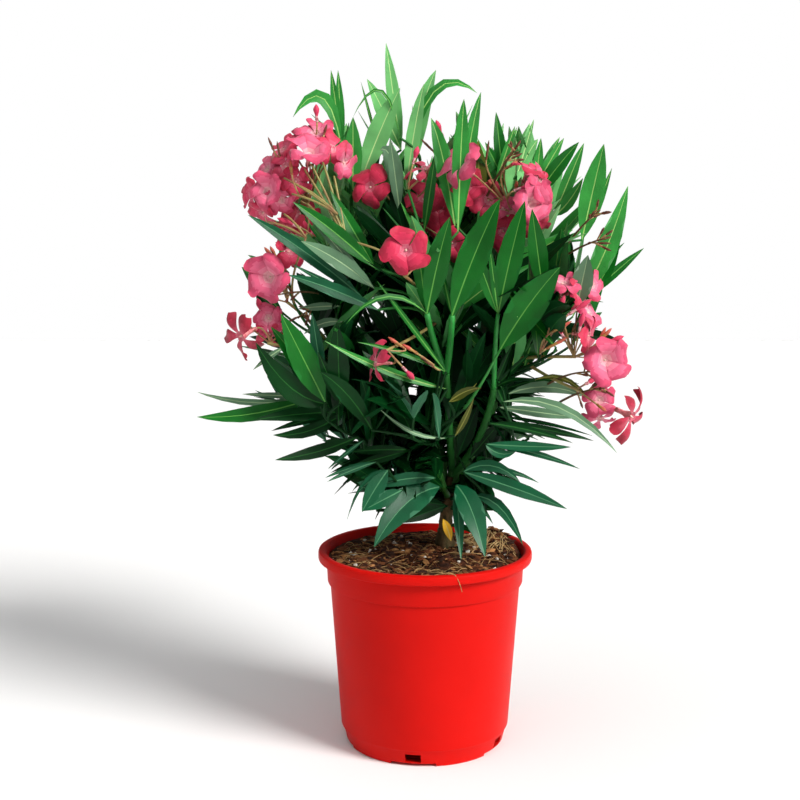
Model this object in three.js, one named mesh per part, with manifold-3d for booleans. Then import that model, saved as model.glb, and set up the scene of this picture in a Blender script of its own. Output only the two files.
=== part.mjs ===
// A young oleander in a red nursery pot, in millimetres, +Z up, seen from -Y.
// The origin is the middle of the pot's flat underside. The plant is built as it grows: a short trunk with a
// root flare, boughs that fork from it, and a mass of foliage on the tip of each bough. A mass is one stem
// that branches into shoots, with whorls of three long leaves. Some masses carry heads of flowers.

import * as THREE from "three";
import { mergeVertices } from "three/addons/utils/BufferGeometryUtils.js";
import Module from "manifold-3d";

const { Vector3 } = THREE;
const wasm = await Module();
wasm.setup();

// ---- Driving dimensions ----

const GAP = 0.3; // between pieces that meet

const POT = {
  height: 205,
  lipRadius: 111,
  lipHeight: 10,
  collarRadius: 101.5, // of the wall above the upper step
  collarHeight: 34, // from that step to the lip's top
  wallTopRadius: 98.8,
  wallFootRadius: 88,
  bandHeight: 18, // of the narrower band at the foot
  footRadius: 82,
  wall: 2,
  step: 1.2, // how far each step stands in
  lipChamfer: 2,
  lipTop: 6, // width of the lip's chamfer and flat top
  recess: 3.5, // of the underside between the feet and the middle disc
  footWidth: 11,
  discRadius: 26,
  sides: 32,
};

// Round the foot: slots through the wall, and below each a notch that parts the foot ring.
const DRAIN = { count: 5, firstAngle: -99, slot: [16, 9], slotBottom: 4.5, notchWidth: 46, depth: 22 };

const SOIL = {
  edgeHeight: 197, // at the pot's wall
  clearance: 0.8, // from the pot's wall
  rimWidth: 6, // of the band inside the wall where leaves keep above the pot's rim
  mound: 6, // how far it rises round the trunk
  moundRadius: 78,
  plateauRadius: 44, // level ground round the trunk
  heap: { x: 76, y: 34, height: 14, radius: 30 }, // loose mulch piled against the wall
  rings: [1, 0.82, 0.58, 0.3], // shares of the soil's radius
};

const TRUNK = {
  foot: [21, 12],
  top: [28, 12, 278],
  radius: 6.6,
  topRadius: 5.6,
  flare: 5.2, // added at the ground
  flareHeight: 13,
  lobes: 4, // roots that show in the flare
  sides: 8,
  steps: 7,
};

// Each bough leaves its parent at a share of its length, and sweeps outwards and then up to its tip.
const BOUGHS = [
  { name: "bough_centre", parent: "trunk", at: 1, tip: [22, 0, 384], radii: [5, 4] },
  { name: "bough_right", parent: "trunk", at: 0.86, tip: [72, -8, 362], radii: [4.4, 3.6] },
  { name: "bough_left", parent: "trunk", at: 0.76, tip: [-52, -4, 350], radii: [4.4, 3.4] },
  { name: "bough_back", parent: "trunk", at: 0.68, tip: [0, 38, 440], radii: [4.6, 3.5] },
  { name: "bough_top_left", parent: "bough_back", at: 0.32, tip: [-54, 24, 426], radii: [3.8, 3.3] },
  { name: "bough_top_right", parent: "bough_back", at: 0.2, tip: [66, 34, 420], radii: [3.8, 3.3] },
  { name: "bough_left_low", parent: "bough_left", at: 0.3, tip: [-34, -28, 304], radii: [3.4, 3.1] },
  { name: "bough_right_low", parent: "bough_right", at: 0.16, tip: [70, -20, 300], radii: [3.4, 3] },
  { name: "bough_rear", parent: "bough_back", at: 0.12, tip: [14, 74, 370], radii: [3.8, 3.2] },
  { name: "bough_rear_low", parent: "trunk", at: 0.6, tip: [12, 62, 304], radii: [3.6, 3.1] },
  { name: "bough_front_low", parent: "trunk", at: 0.7, tip: [10, -32, 308], radii: [3.4, 3] },
];
const LIMB = { sides: 6, steps: 5, sweep: 0.6 };
const ONWARD = 0.4; // share of a limb's reach over which it keeps the direction of the one that carries it

// The space that the whole crown keeps to, apart from its furthest tips. It narrows downwards, towards the
// trunk.
const CROWN = {
  heart: [2, 4, 456],
  reach: [228, 208],
  above: 240, // its reach upwards
  below: 252, // its reach downwards
  narrowing: 0.26, // of its width at its lowest, as a share
  shift: 22, // of its middle at its lowest, towards the trunk
  ragged: [0.88, 1.02],
};
const BORDER = 0.012; // left free between two masses' spaces, as a share of their reach

// The leaves that stand furthest out of the crown: each tip's place, and how far the leaf arches, as a share
// of its length.
const FAR_LEAVES = [
  [-39, 20, 719, 0.02],
  [-95, 10, 692, 0.02],
  [-132, -10, 646, 0.3],
  [10, 4, 691, 0.02],
  [49, -10, 669, 0.25],
  [88, -8, 635, 0.02],
  [139, 10, 625, 0.04],
  [176, -14, 617, 0.02],
  [198, -26, 576, 0.02],
  [219, -6, 515, 0.06],
  [182, -80, 324, 0.16],
  [139, -60, 260, 0.1],
  [-51, -96, 231, 0.14],
  [56, -100, 222, 0.2],
  [-221, -70, 355, 0.14],
  [-229, -20, 370, 0.05],
  [-143, -90, 316, 0.1],
  [-167, -84, 549, 0.05],
];
const FAR_LENGTHS = [70, 165]; // the shortest and longest of them
const FAR_ROOTS = [0.5, 0.65, 0.8, 0.96]; // shares of a shoot where they may leave it
const FAR_EDGE = 1.5; // how far they may stand out of the crown, as a share of its reach
const FAR_FACE = [0, -0.8, 0.6]; // where they turn their faces

// How the leaves stand: open is their angle to the shoot, at its foot and at its tip, lift how far they turn
// up from there, droop how far a leaf hangs, as a share of its length, leaf its length, and spread the angle
// between the leader and the outermost shoot.
const UPRIGHT = { open: [68, 18], lift: 0.45, droop: 0.06, leaf: 142, spread: 85 };
const SPREADING = { open: [80, 30], lift: 0.2, droop: 0.16, leaf: 124, spread: 105 };
const HANGING = { open: [70, 16], lift: 0, droop: 0.42, leaf: 112, spread: 110 };

// Each mass of foliage: the limb that carries it, the heart and reach of the space that it fills, its number
// of shoots, and its heads of flowers, each with its place and number of flowers.
const MASSES = [
  {
    name: "foliage_centre",
    limb: "bough_centre",
    heart: [18, -72, 482],
    reach: [106, 100, 124],
    habit: UPRIGHT,
    shoots: 8,
    heads: [[-22, -108, 494, 1], [-40, -116, 424, 1]],
  },
  {
    name: "foliage_top",
    limb: "bough_back",
    heart: [-10, 30, 596],
    reach: [90, 120, 130],
    habit: UPRIGHT,
    shoots: 7,
    heads: [[-30, -26, 556, 4]],
  },
  {
    name: "foliage_top_left",
    limb: "bough_top_left",
    heart: [-104, 4, 562],
    reach: [86, 120, 116],
    habit: UPRIGHT,
    shoots: 6,
    heads: [[-118, -24, 560, 10]],
  },
  {
    name: "foliage_top_right",
    limb: "bough_top_right",
    heart: [104, 16, 556],
    reach: [104, 124, 112],
    habit: UPRIGHT,
    shoots: 9,
    heads: [[86, -30, 552, 7]],
  },
  {
    name: "foliage_left",
    seed: 1034,
    limb: "bough_left",
    heart: [-124, -14, 432],
    reach: [100, 122, 98],
    habit: SPREADING,
    shoots: 7,
    heads: [[-138, -50, 466, 4], [-156, -48, 424, 3]],
  },
  {
    name: "foliage_right",
    limb: "bough_right",
    heart: [130, -14, 424],
    reach: [102, 122, 98],
    habit: SPREADING,
    shoots: 8,
    heads: [[146, -58, 412, 4], [150, -52, 378, 4]],
  },
  {
    name: "foliage_rear",
    seed: 1036,
    limb: "bough_rear",
    heart: [6, 116, 474],
    reach: [132, 94, 124],
    habit: UPRIGHT,
    shoots: 8,
    heads: [[-84, 140, 520, 4], [70, 150, 520, 5]],
  },
  {
    name: "foliage_left_low",
    seed: 1047,
    limb: "bough_left_low",
    heart: [-88, -40, 332],
    reach: [126, 112, 70],
    habit: SPREADING,
    shoots: 7,
  },
  {
    name: "foliage_right_low",
    limb: "bough_right_low",
    heart: [102, -34, 322],
    reach: [114, 112, 68],
    habit: SPREADING,
    shoots: 7,
  },
  {
    name: "foliage_front_low",
    limb: "bough_front_low",
    heart: [8, -84, 346],
    reach: [84, 96, 66],
    habit: SPREADING,
    shoots: 6,
  },
  {
    name: "foliage_rear_low",
    limb: "bough_rear_low",
    heart: [6, 104, 336],
    reach: [144, 92, 72],
    habit: SPREADING,
    shoots: 6,
  },
  { name: "skirt_left", limb: "trunk", at: 0.52, heart: [-36, -18, 250], reach: [98, 88, 54] },
  { name: "skirt_right", limb: "trunk", at: 0.56, heart: [74, -16, 250], reach: [94, 88, 54] },
  { name: "skirt_back", limb: "trunk", at: 0.44, heart: [18, 74, 256], reach: [100, 88, 54] },
].map((mass, i) => ({ habit: HANGING, shoots: 5, heads: [], seed: 1000 + i, ...mass }));

const TWIG = {
  parting: [0.12, 0.6], // where side shoots part from the leader, the lowest and highest, as shares of it
  leader: [3, 1.7],
  radii: [2, 1.3],
  sides: 3,
  steps: 2,
  depth: 0.4, // of the leader's tip, as a share of the mass's reach
  depths: [0.36, 0.52], // of the other shoots' tips
  ownPart: 0.3, // of a shoot, from its foot, that may be outside its mass's space
  internode: 26, // between whorls
  firstWhorl: 0.2, // as a share of the shoot
  lastWhorl: 0.98,
  leavesPerWhorl: 3,
};

const LEAF = {
  lengths: [0.85, 1.15], // shares of its habit's length
  droops: [0.3, 1.7], // shares of its habit's droop
  fan: 16, // degrees, the spread of its angle to the shoot
  width: 0.27, // of its length
  thickness: 0.0125, // of its length
  stations: [[0.42, 1], [0.74, 0.74]], // share of the length, and of the full width there
  shares: [1, 0.84, 0.7, 0.58], // lengths tried, from the longest, to stay in the mass's space
  turns: [0, 0.45, -0.45], // radians round the shoot, tried in this order
  apart: 4.6, // from other leaves of its mass
  twist: 1.1, // radians, the most it turns round its spine, both ways together
  tested: [0.2, 0.99, 0.08], // the part of its length that has to be clear, and the step between tests
  swelling: 0.42, // share of the length over which it widens
  tapering: 0.36, // share of the length over which it narrows
};

const WOOD = {
  bead: 5, // between the points that stand for a limb or twig
  clearance: 2.2, // from a limb or twig
  near: 110, // how far from a leaf's middle limbs and twigs are looked for
};

const GROUND_CLEARANCE = 1.5; // from soil and pot

const FLOWER = {
  radius: 22,
  notchRadius: 14,
  petals: 5,
  depth: 19, // of the funnel, outside
  throat: 13, // from its foot to the bottom of the funnel, inside
  stalkRadius: 1.1,
  stalk: [1.8, 1.5], // radii of a head's stalk
  stalkSweep: 0.4,
  firstLean: 0.3, // how far the first flower is round the cone, as a share of the step to the next
  rooted: 0.97, // share of the stalk where the flowers' own stalks start
  pedicel: [14, 13], // the shortest, and how much the longest grows with the head
  parting: 0.45, // of a head's stalk from the leader, as a share of it
  cone: 78, // degrees, half the angle that a head fills
  edge: 1.15, // how far heads may stand out of the crown, as a share of its reach
};

// ---- Shared geometry ----

const UP = new Vector3(0, 0, 1);
const GOLDEN_ANGLE = Math.PI * (3 - Math.sqrt(5));
const radians = THREE.MathUtils.degToRad;
const { lerp } = THREE.MathUtils;
const between = ([low, high], share) => lerp(low, high, share);

// Repeatable random numbers from 0 to 1.
function dice(seed) {
  let state = seed >>> 0;
  return () => {
    state = (Math.imul(state, 1664525) + 1013904223) >>> 0;
    return state / 2 ** 32;
  };
}

function toSolid(points, faces) {
  return new wasm.Manifold(
    new wasm.Mesh({
      numProp: 3,
      vertProperties: new Float32Array(points.flatMap((p) => [p.x, p.y, p.z])),
      triVerts: new Uint32Array(faces.flat()),
    }),
  );
}

// A closed skin over rings of points, each anticlockwise about the way the rings follow each other.
// A ring of one point is an apex, and any other first or last ring gets a flat cap.
function loft(rings) {
  const starts = [];
  const points = [];
  for (const ring of rings) {
    starts.push(points.length);
    points.push(...ring);
  }
  const faces = [];
  for (let k = 0; k + 1 < rings.length; k++) {
    const [a, b] = [rings[k].length, rings[k + 1].length];
    for (let i = 0; i < Math.max(a, b); i++) {
      const a0 = starts[k] + (i % a);
      const a1 = starts[k] + ((i + 1) % a);
      const b0 = starts[k + 1] + (i % b);
      const b1 = starts[k + 1] + ((i + 1) % b);
      if (a > 1) faces.push([a0, a1, b1]);
      if (b > 1) faces.push([a0, b1, b0]);
    }
  }
  for (let i = 1; i + 1 < rings[0].length; i++) faces.push([0, i + 1, i]);
  const last = starts[rings.length - 1];
  for (let i = 1; i + 1 < rings.at(-1).length; i++) faces.push([last, last + i, last + i + 1]);
  return toSolid(points, faces);
}

// A three.js geometry as a solid.
function solidOf(geometry) {
  const bare = geometry.clone().deleteAttribute("normal").deleteAttribute("uv");
  const merged = mergeVertices(bare, 1e-3);
  const place = merged.getAttribute("position");
  const points = Array.from({ length: place.count }, (_, i) => new Vector3().fromBufferAttribute(place, i));
  const faces = [];
  for (let i = 0; i < merged.index.count; i += 3) {
    const [a, b, c] = [0, 1, 2].map((k) => merged.index.getX(i + k));
    if (a !== b && b !== c && a !== c) faces.push([a, b, c]);
  }
  return toSolid(points, faces);
}

function meshOf(name, solid, material) {
  const { vertProperties, triVerts } = solid.getMesh();
  const geometry = new THREE.BufferGeometry();
  geometry.setAttribute("position", new THREE.BufferAttribute(vertProperties, 3));
  geometry.setIndex(new THREE.BufferAttribute(triVerts, 1));
  geometry.computeVertexNormals();
  const mesh = new THREE.Mesh(geometry, material);
  mesh.name = name;
  return mesh;
}

// Two unit vectors across a direction, right-handed with it.
function across(direction, reference = UP) {
  const u = new Vector3().crossVectors(reference, direction);
  if (u.length() < 0.05) u.set(1, 0, 0);
  u.normalize();
  return [u, new Vector3().crossVectors(direction, u).normalize()];
}

function ringAt(centre, u, v, radii) {
  return radii.map((radius, i) => {
    const turn = (2 * Math.PI * i) / radii.length;
    return centre
      .clone()
      .addScaledVector(u, radius * Math.cos(turn))
      .addScaledVector(v, radius * Math.sin(turn));
  });
}

// A tapering limb along a curve. radiusAt gives its radius at a share of its length, and a turn round it.
function limbSolid(curve, sides, steps, radiusAt) {
  const [reference] = across(curve.getPoint(1).sub(curve.getPoint(0)).normalize());
  const rings = [];
  for (let k = 0; k <= steps; k++) {
    const t = k / steps;
    const [u, v] = across(curve.getTangent(t), reference);
    const radii = Array.from({ length: sides }, (_, i) => radiusAt(t, (2 * Math.PI * i) / sides));
    rings.push(ringAt(curve.getPoint(t), u, v, radii));
  }
  return loft(rings);
}

// The point at a share of a twig's length, on the straight pieces that it is made of.
function onTwig(curve, share, steps = TWIG.steps) {
  const piece = Math.min(Math.floor(share * steps), steps - 1);
  return curve.getPoint(piece / steps).lerp(curve.getPoint((piece + 1) / steps), share * steps - piece);
}

const inRange = (value, [low, high]) => value > low && value < high;
const straightTaper = (radii) => (t) => between(radii, t);

// ---- Pot ----

// Height of the soil, level round the trunk's foot and heaped in one place.
function soilHeight(x, y) {
  const [footX, footY] = TRUNK.foot;
  const away = Math.hypot(x - footX, y - footY);
  const share = THREE.MathUtils.smoothstep(away, SOIL.plateauRadius, SOIL.moundRadius);
  const { heap } = SOIL;
  const heaped = Math.hypot(x - heap.x, y - heap.y) / heap.radius;
  const heapShare = away < SOIL.plateauRadius ? 0 : Math.exp(-heaped * heaped * 2);
  return SOIL.edgeHeight + SOIL.mound * (1 - share) + heap.height * heapShare;
}

function innerRadius(z) {
  const top = POT.height - POT.collarHeight;
  if (z > top) return lerp(POT.collarRadius, POT.collarRadius + 1, (z - top) / POT.collarHeight) - POT.wall;
  const share = (z - POT.bandHeight) / (top - POT.bandHeight);
  return lerp(POT.wallFootRadius, POT.wallTopRadius, share) - POT.wall;
}

function potProfile() {
  const { height, wall, step, recess, footRadius, footWidth, discRadius, bandHeight } = POT;
  const collar = height - POT.collarHeight;
  const lip = height - POT.lipHeight;
  const outside = [
    [0, 0],
    [discRadius, 0],
    [discRadius + recess, recess],
    [footRadius - footWidth, recess],
    [footRadius - footWidth + 1, 0],
    [footRadius, 0],
    [POT.wallFootRadius - step, bandHeight],
    [POT.wallFootRadius, bandHeight + step],
    [POT.wallTopRadius, collar],
    [POT.collarRadius, collar + step],
    [POT.collarRadius + 1, lip],
    [POT.lipRadius, lip],
    [POT.lipRadius, height - POT.lipChamfer],
    [POT.lipRadius - POT.lipChamfer, height],
    [POT.lipRadius - POT.lipTop, height],
  ];
  const inside = [
    [innerRadius(lip), lip],
    [innerRadius(collar + step), collar + step],
    [innerRadius(collar), collar],
    [innerRadius(bandHeight), bandHeight],
    [footRadius - wall, recess + wall],
    [0, recess + wall],
  ];
  return [...outside, ...inside].map(([r, z]) => new THREE.Vector2(r, z));
}

function buildPot() {
  const shell = new THREE.LatheGeometry(potProfile(), POT.sides).rotateX(Math.PI / 2);
  let pot = solidOf(shell);
  const [slotWidth, slotHeight] = DRAIN.slot;
  for (let i = 0; i < DRAIN.count; i++) {
    const angle = radians(DRAIN.firstAngle + (360 / DRAIN.count) * i);
    const slot = new THREE.BoxGeometry(DRAIN.depth, slotWidth, slotHeight);
    slot.translate(POT.footRadius, 0, DRAIN.slotBottom + slotHeight / 2).rotateZ(angle);
    const notch = new THREE.BoxGeometry(DRAIN.depth, DRAIN.notchWidth, 2 * POT.recess);
    notch.translate(POT.footRadius, 0, 0).rotateZ(angle);
    pot = pot.subtract(solidOf(slot)).subtract(solidOf(notch));
  }
  return pot;
}

// The potting mix fills the pot from its floor up, just clear of its wall.
function buildSoil() {
  const floor = POT.recess + POT.wall + GAP;
  const clear = SOIL.clearance;
  const circle = (radius, heightAt) =>
    Array.from({ length: POT.sides }, (_, i) => {
      const angle = Math.PI / 2 + (2 * Math.PI * i) / POT.sides;
      const [x, y] = [radius * Math.cos(angle), radius * Math.sin(angle)];
      return new Vector3(x, y, heightAt(x, y));
    });
  const level = (z) => circle(innerRadius(z) - clear, () => z);
  const footRing = circle(POT.footRadius - POT.wall - clear, () => floor);
  const rimRadius = innerRadius(SOIL.edgeHeight) - clear;
  const top = SOIL.rings.map((share) => circle(rimRadius * share, soilHeight));
  const collar = POT.height - POT.collarHeight;
  return loft([
    [new Vector3(0, 0, floor)],
    footRing,
    level(POT.bandHeight),
    level(collar),
    level(collar + POT.step),
    ...top,
    [new Vector3(0, 0, soilHeight(0, 0))],
  ]);
}

// ---- Limbs ----

function sweepCurve(start, tip, sweep = LIMB.sweep) {
  const elbow = new Vector3(
    lerp(start.x, tip.x, sweep),
    lerp(start.y, tip.y, sweep),
    lerp(start.z, tip.z, 1 - sweep),
  );
  return new THREE.QuadraticBezierCurve3(start, elbow, tip);
}

// A curve that goes on from a limb's end, across the gap, in the limb's own direction.
function onwardCurve(end, heading, tip) {
  const start = end.clone().addScaledVector(heading, GAP);
  const elbow = start.clone().addScaledVector(heading, ONWARD * start.distanceTo(tip));
  return new THREE.QuadraticBezierCurve3(start, elbow, tip);
}

function trunkLimb() {
  const [x, y] = TRUNK.foot;
  const start = new Vector3(x, y, soilHeight(x, y) + GAP);
  const top = new Vector3(...TRUNK.top);
  // It rises straight from the ground, so the cut under it is level.
  const curve = new THREE.QuadraticBezierCurve3(start, new Vector3(x, y, lerp(start.z, top.z, 0.5)), top);
  const height = top.z - start.z;
  const radiusAt = (t, turn) => {
    const flare = TRUNK.flare * Math.exp((-t * height) / TRUNK.flareHeight);
    return lerp(TRUNK.radius, TRUNK.topRadius, t) + flare * (0.75 + 0.25 * Math.cos(TRUNK.lobes * turn));
  };
  return { name: "trunk", curve, sides: TRUNK.sides, steps: TRUNK.steps, radiusAt };
}

// The trunk and boughs by name. A bough starts inside its parent, or just past its end.
function layOutLimbs() {
  const limbs = new Map([["trunk", trunkLimb()]]);
  for (const { name, parent, at, tip, radii } of BOUGHS) {
    const carrier = limbs.get(parent);
    const start = carrier.curve.getPoint(at);
    const end = new Vector3(...tip);
    const curve = at === 1 ? onwardCurve(start, carrier.curve.getTangent(1), end) : sweepCurve(start, end);
    limbs.set(name, { name, parent, at, curve, ...LIMB, radiusAt: straightTaper(radii) });
  }
  return limbs;
}

// What a limb's child is cut by: the limb, wider by the gap.
function widened(limb) {
  return limbSolid(limb.curve, limb.sides, limb.steps, (t, turn) => limb.radiusAt(t, turn) + GAP * 1.3);
}

function largestBody(solid) {
  return solid.decompose().reduce((a, b) => (b.volume() > a.volume() ? b : a));
}

// A limb gives way to the thicker ones that were laid out before it.
function buildLimb(limb, limbs) {
  const all = [...limbs.values()];
  const earlier = all.slice(0, all.indexOf(limb)).filter(({ name }) => limb.at < 1 || name !== limb.parent);
  const solid = limbSolid(limb.curve, limb.sides, limb.steps, limb.radiusAt);
  return largestBody(earlier.reduce((rest, other) => rest.subtract(widened(other)), solid));
}

// ---- Space of each mass ----

// How far a point is from the heart of a space, as a share of the space's reach that way.
function awayIn({ heart, reach }, point) {
  const { x, y, z } = point;
  return Math.hypot((x - heart[0]) / reach[0], (y - heart[1]) / reach[1], (z - heart[2]) / reach[2]);
}

// How far a point is from the crown's heart, as a share of the crown's reach that way.
function awayInCrown(point) {
  const [x, y, z] = CROWN.heart;
  const down = Math.min(1, Math.max(0, (z - point.z) / CROWN.below));
  const narrow = 1 - CROWN.narrowing * down;
  const upright = (point.z - z) / (point.z > z ? CROWN.above : CROWN.below);
  const [wide, deep] = CROWN.reach.map((reach) => reach * narrow);
  return Math.hypot((point.x - x - CROWN.shift * down) / wide, (point.y - y) / deep, upright);
}

// Each mass keeps to the points of the crown that are nearer its own heart than any other's, by a little.
function inSpace(point, mass) {
  const away = awayIn(mass, point) + BORDER;
  return MASSES.every((other) => other === mass || away < awayIn(other, point));
}

function aboveGround(point) {
  const out = Math.hypot(point.x, point.y);
  if (out > POT.lipRadius + GROUND_CLEARANCE) return point.z > GROUND_CLEARANCE;
  if (out > innerRadius(SOIL.edgeHeight) - SOIL.rimWidth) return point.z > POT.height + GROUND_CLEARANCE;
  return point.z > soilHeight(point.x, point.y) + GROUND_CLEARANCE;
}

// Points along a limb with its radius there, close enough to stand for it.
function beadsOf({ curve, radiusAt }) {
  const count = Math.ceil(curve.getLength() / WOOD.bead);
  const shares = Array.from({ length: count + 1 }, (_, i) => i / count);
  return shares.map((share) => ({ at: curve.getPoint(share), radius: radiusAt(share, 0) }));
}

// Whether points are clear of beads of wood.
function clearOfWood(points, beads) {
  const middle = points[points.length >> 1];
  const near = beads.filter(({ at }) => at.distanceTo(middle) < WOOD.near);
  return near.every(({ at, radius }) => {
    const closest = radius + WOOD.clearance;
    return points.every((point) => point.distanceTo(at) > closest);
  });
}

// ---- Leaves and flowers ----

// A leaf is {base, direction, side, length, droop}: its spine leaves base in direction and hangs by droop.
function leafSpine({ base, direction, length, droop }) {
  const control = base.clone().addScaledVector(direction, length / 2);
  const tip = base.clone().addScaledVector(direction, length);
  tip.z -= droop * length;
  return new THREE.QuadraticBezierCurve3(base, control, tip);
}

// The leaf's edges at a share of its length: a point on each side of the spine.
function leafEdges(leaf, spine, t, halfWidth) {
  const middle = spine.getPoint(t);
  return [halfWidth, -halfWidth].map((reach) => middle.clone().addScaledVector(leaf.side, reach));
}

function leafSolid(leaf) {
  const spine = leafSpine(leaf);
  const halfWidth = (leaf.length * LEAF.width) / 2;
  const thickness = leaf.length * LEAF.thickness;
  const rings = LEAF.stations.map(([t, share]) => {
    const normal = new Vector3().crossVectors(spine.getTangent(t), leaf.side).normalize();
    const keel = spine.getPoint(t).addScaledVector(normal, -thickness);
    return [...leafEdges(leaf, spine, t, halfWidth * share), keel];
  });
  return loft([[spine.getPoint(0)], ...rings, [spine.getPoint(1)]]);
}

// Points all over the blade, past its foot.
function leafSamples(leaf) {
  const spine = leafSpine(leaf);
  const halfWidth = (leaf.length * LEAF.width) / 2;
  const samples = [spine.getPoint(1)];
  const [from, to, step] = LEAF.tested;
  for (let t = from; t < to; t += step) {
    const reach = halfWidth * Math.min(1, t / LEAF.swelling, (1 - t) / LEAF.tapering);
    samples.push(spine.getPoint(t), ...[reach, reach / 2].flatMap((r) => leafEdges(leaf, spine, t, r)));
  }
  return samples;
}

// A flower on its thin stalk: from the stalk's root the skin widens into a funnel, and its rim is cut into
// petals.
function flowerSolid({ root, foot, direction }) {
  const [u, v] = across(direction);
  const ring = (height, radii) => ringAt(foot.clone().addScaledVector(direction, height), u, v, radii);
  const neck = Array(2 * FLOWER.petals).fill(FLOWER.stalkRadius);
  const rim = neck.map((_, i) => (i % 2 ? FLOWER.radius : FLOWER.notchRadius));
  const throat = foot.clone().addScaledVector(direction, FLOWER.throat);
  return loft([[root], ring(0, neck), ring(FLOWER.depth, rim), [throat]]);
}

// The middle of a flower's mouth and the tips of its petals.
function flowerSamples({ foot, direction }) {
  const [u, v] = across(direction);
  const mouth = foot.clone().addScaledVector(direction, FLOWER.depth);
  return [mouth, ...ringAt(mouth, u, v, Array(2 * FLOWER.petals).fill(FLOWER.radius))];
}

// ---- Growth ----

// A direction that leans from an axis by an angle, at a turn round it.
function leaning(axis, angle, turn) {
  const [u, v] = across(axis);
  const out = u.multiplyScalar(Math.cos(turn)).addScaledVector(v, Math.sin(turn));
  return axis.clone().multiplyScalar(Math.cos(angle)).addScaledVector(out, Math.sin(angle));
}

// The point at a depth in a mass's space, from its heart.
function placeIn(mass, direction, depth) {
  const [x, y, z] = direction.toArray().map((value, i) => mass.heart[i] + mass.reach[i] * depth * value);
  return new Vector3(x, y, z);
}

// The shoots of a mass: its leader, which is its stem too, and side shoots that part from the leader and end
// in places all round the mass's heart.
function growShoots(mass, carrier, roll) {
  const at = mass.at ?? 1;
  const heart = new Vector3(...mass.heart);
  const start = carrier.curve.getPoint(at);
  const outward = heart.clone().sub(start).normalize();
  const heading = mass.at ? outward : carrier.curve.getTangent(1);
  const lead = mass.at ? outward : outward.clone().add(UP).normalize();
  const top = placeIn(mass, lead, TWIG.depth);
  const leader = onwardCurve(start, heading, top);
  const shoots = [leader];
  const phase = 2 * Math.PI * roll();
  for (let i = 1; i < mass.shoots; i++) {
    const share = i / mass.shoots;
    const lean = radians(mass.habit.spread) * Math.sqrt(share);
    const depth = between(TWIG.depths, roll());
    const tip = placeIn(mass, leaning(lead, lean, phase + i * GOLDEN_ANGLE), depth);
    shoots.push(sweepCurve(onTwig(leader, lerp(TWIG.parting[1], TWIG.parting[0], share)), tip));
  }
  return shoots;
}

// Whorls of leaves up a shoot. A leaf that fits at none of its lengths is left out.
function growLeaves(curve, mass, roll, fits) {
  const leaves = [];
  const { open, lift, droop, leaf } = mass.habit;
  const leafy = curve.getLength() * (1 - TWIG.firstWhorl);
  const whorls = Math.max(2, Math.round(leafy / TWIG.internode) + 1);
  const startTurn = 2 * Math.PI * roll();
  for (let k = 0; k < whorls; k++) {
    const share = lerp(TWIG.firstWhorl, TWIG.lastWhorl, k / (whorls - 1));
    const base = onTwig(curve, share);
    const axis = curve.getTangent(share);
    for (let j = 0; j < TWIG.leavesPerWhorl; j++) {
      const turn = startTurn + ((j + k / 2) * 2 * Math.PI) / TWIG.leavesPerWhorl;
      const angle = radians(between(open, share) + LEAF.fan * (roll() - 0.5));
      const length = leaf * between(LEAF.lengths, roll());
      const bend = droop * between(LEAF.droops, roll());
      const twist = LEAF.twist * (roll() - 0.5);
      const edge = between(CROWN.ragged, roll());
      const tried = LEAF.turns.flatMap((extra) => {
        const direction = leaning(axis, angle, turn + extra).addScaledVector(UP, lift).normalize();
        // The blade turns its face half to its shoot and half to the sky.
        const side = axis.clone().add(UP).cross(direction).normalize().applyAxisAngle(direction, twist);
        const like = { base, direction, side, droop: bend, edge };
        return LEAF.shares.map((part) => ({ ...like, length: length * part }));
      });
      const fitting = tried.find(fits);
      if (fitting) leaves.push(fitting);
    }
  }
  return leaves;
}

// The leaves of a mass that stand furthest out of the crown, each from the nearest shoot that it can leave.
function growFarLeaves(mass, shoots, fits) {
  const roots = shoots.flatMap(({ curve }) => FAR_ROOTS.map((share) => onTwig(curve, share)));
  const leaves = [];
  for (const [x, y, z, arch] of FAR_LEAVES) {
    const tip = new Vector3(x, y, z);
    if (!inSpace(tip, mass)) continue;
    const tried = roots
      .filter((base) => inRange(base.distanceTo(tip), FAR_LENGTHS))
      .sort((a, b) => a.distanceTo(tip) - b.distanceTo(tip))
      .map((base) => farLeaf(base, tip, arch));
    const fitting = tried.find(fits);
    if (fitting) leaves.push(fitting);
  }
  return leaves;
}

function farLeaf(base, tip, arch) {
  const reach = tip.clone().sub(base);
  const hang = arch * reach.length();
  const direction = reach.addScaledVector(UP, hang);
  const length = direction.length();
  direction.normalize();
  const side = new Vector3(...FAR_FACE).cross(direction).normalize();
  return { base, direction, side, length, droop: hang / length, edge: FAR_EDGE };
}

// A head of flowers: a bare stalk from the leader, and flowers on thin stalks over a cone from its end.
function growHead([x, y, z, count], leader, roll, fits) {
  const end = new Vector3(x, y, z);
  const stalk = sweepCurve(onTwig(leader, FLOWER.parting), end, FLOWER.stalkSweep);
  const heading = stalk.getTangent(1);
  const root = onTwig(stalk, FLOWER.rooted);
  const flowers = [];
  for (let i = 0; i < count; i++) {
    const lean = radians(FLOWER.cone) * Math.sqrt((i + FLOWER.firstLean) / count);
    const longest = FLOWER.pedicel[0] + FLOWER.pedicel[1] * Math.sqrt(count - 1);
    const length = lerp(FLOWER.pedicel[0], longest, roll());
    const direction = leaning(heading, lean, i * GOLDEN_ANGLE);
    const flower = { root, foot: end.clone().addScaledVector(direction, length), direction };
    if (fits(flower)) flowers.push(flower);
  }
  return { stalk, flowers };
}

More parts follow.
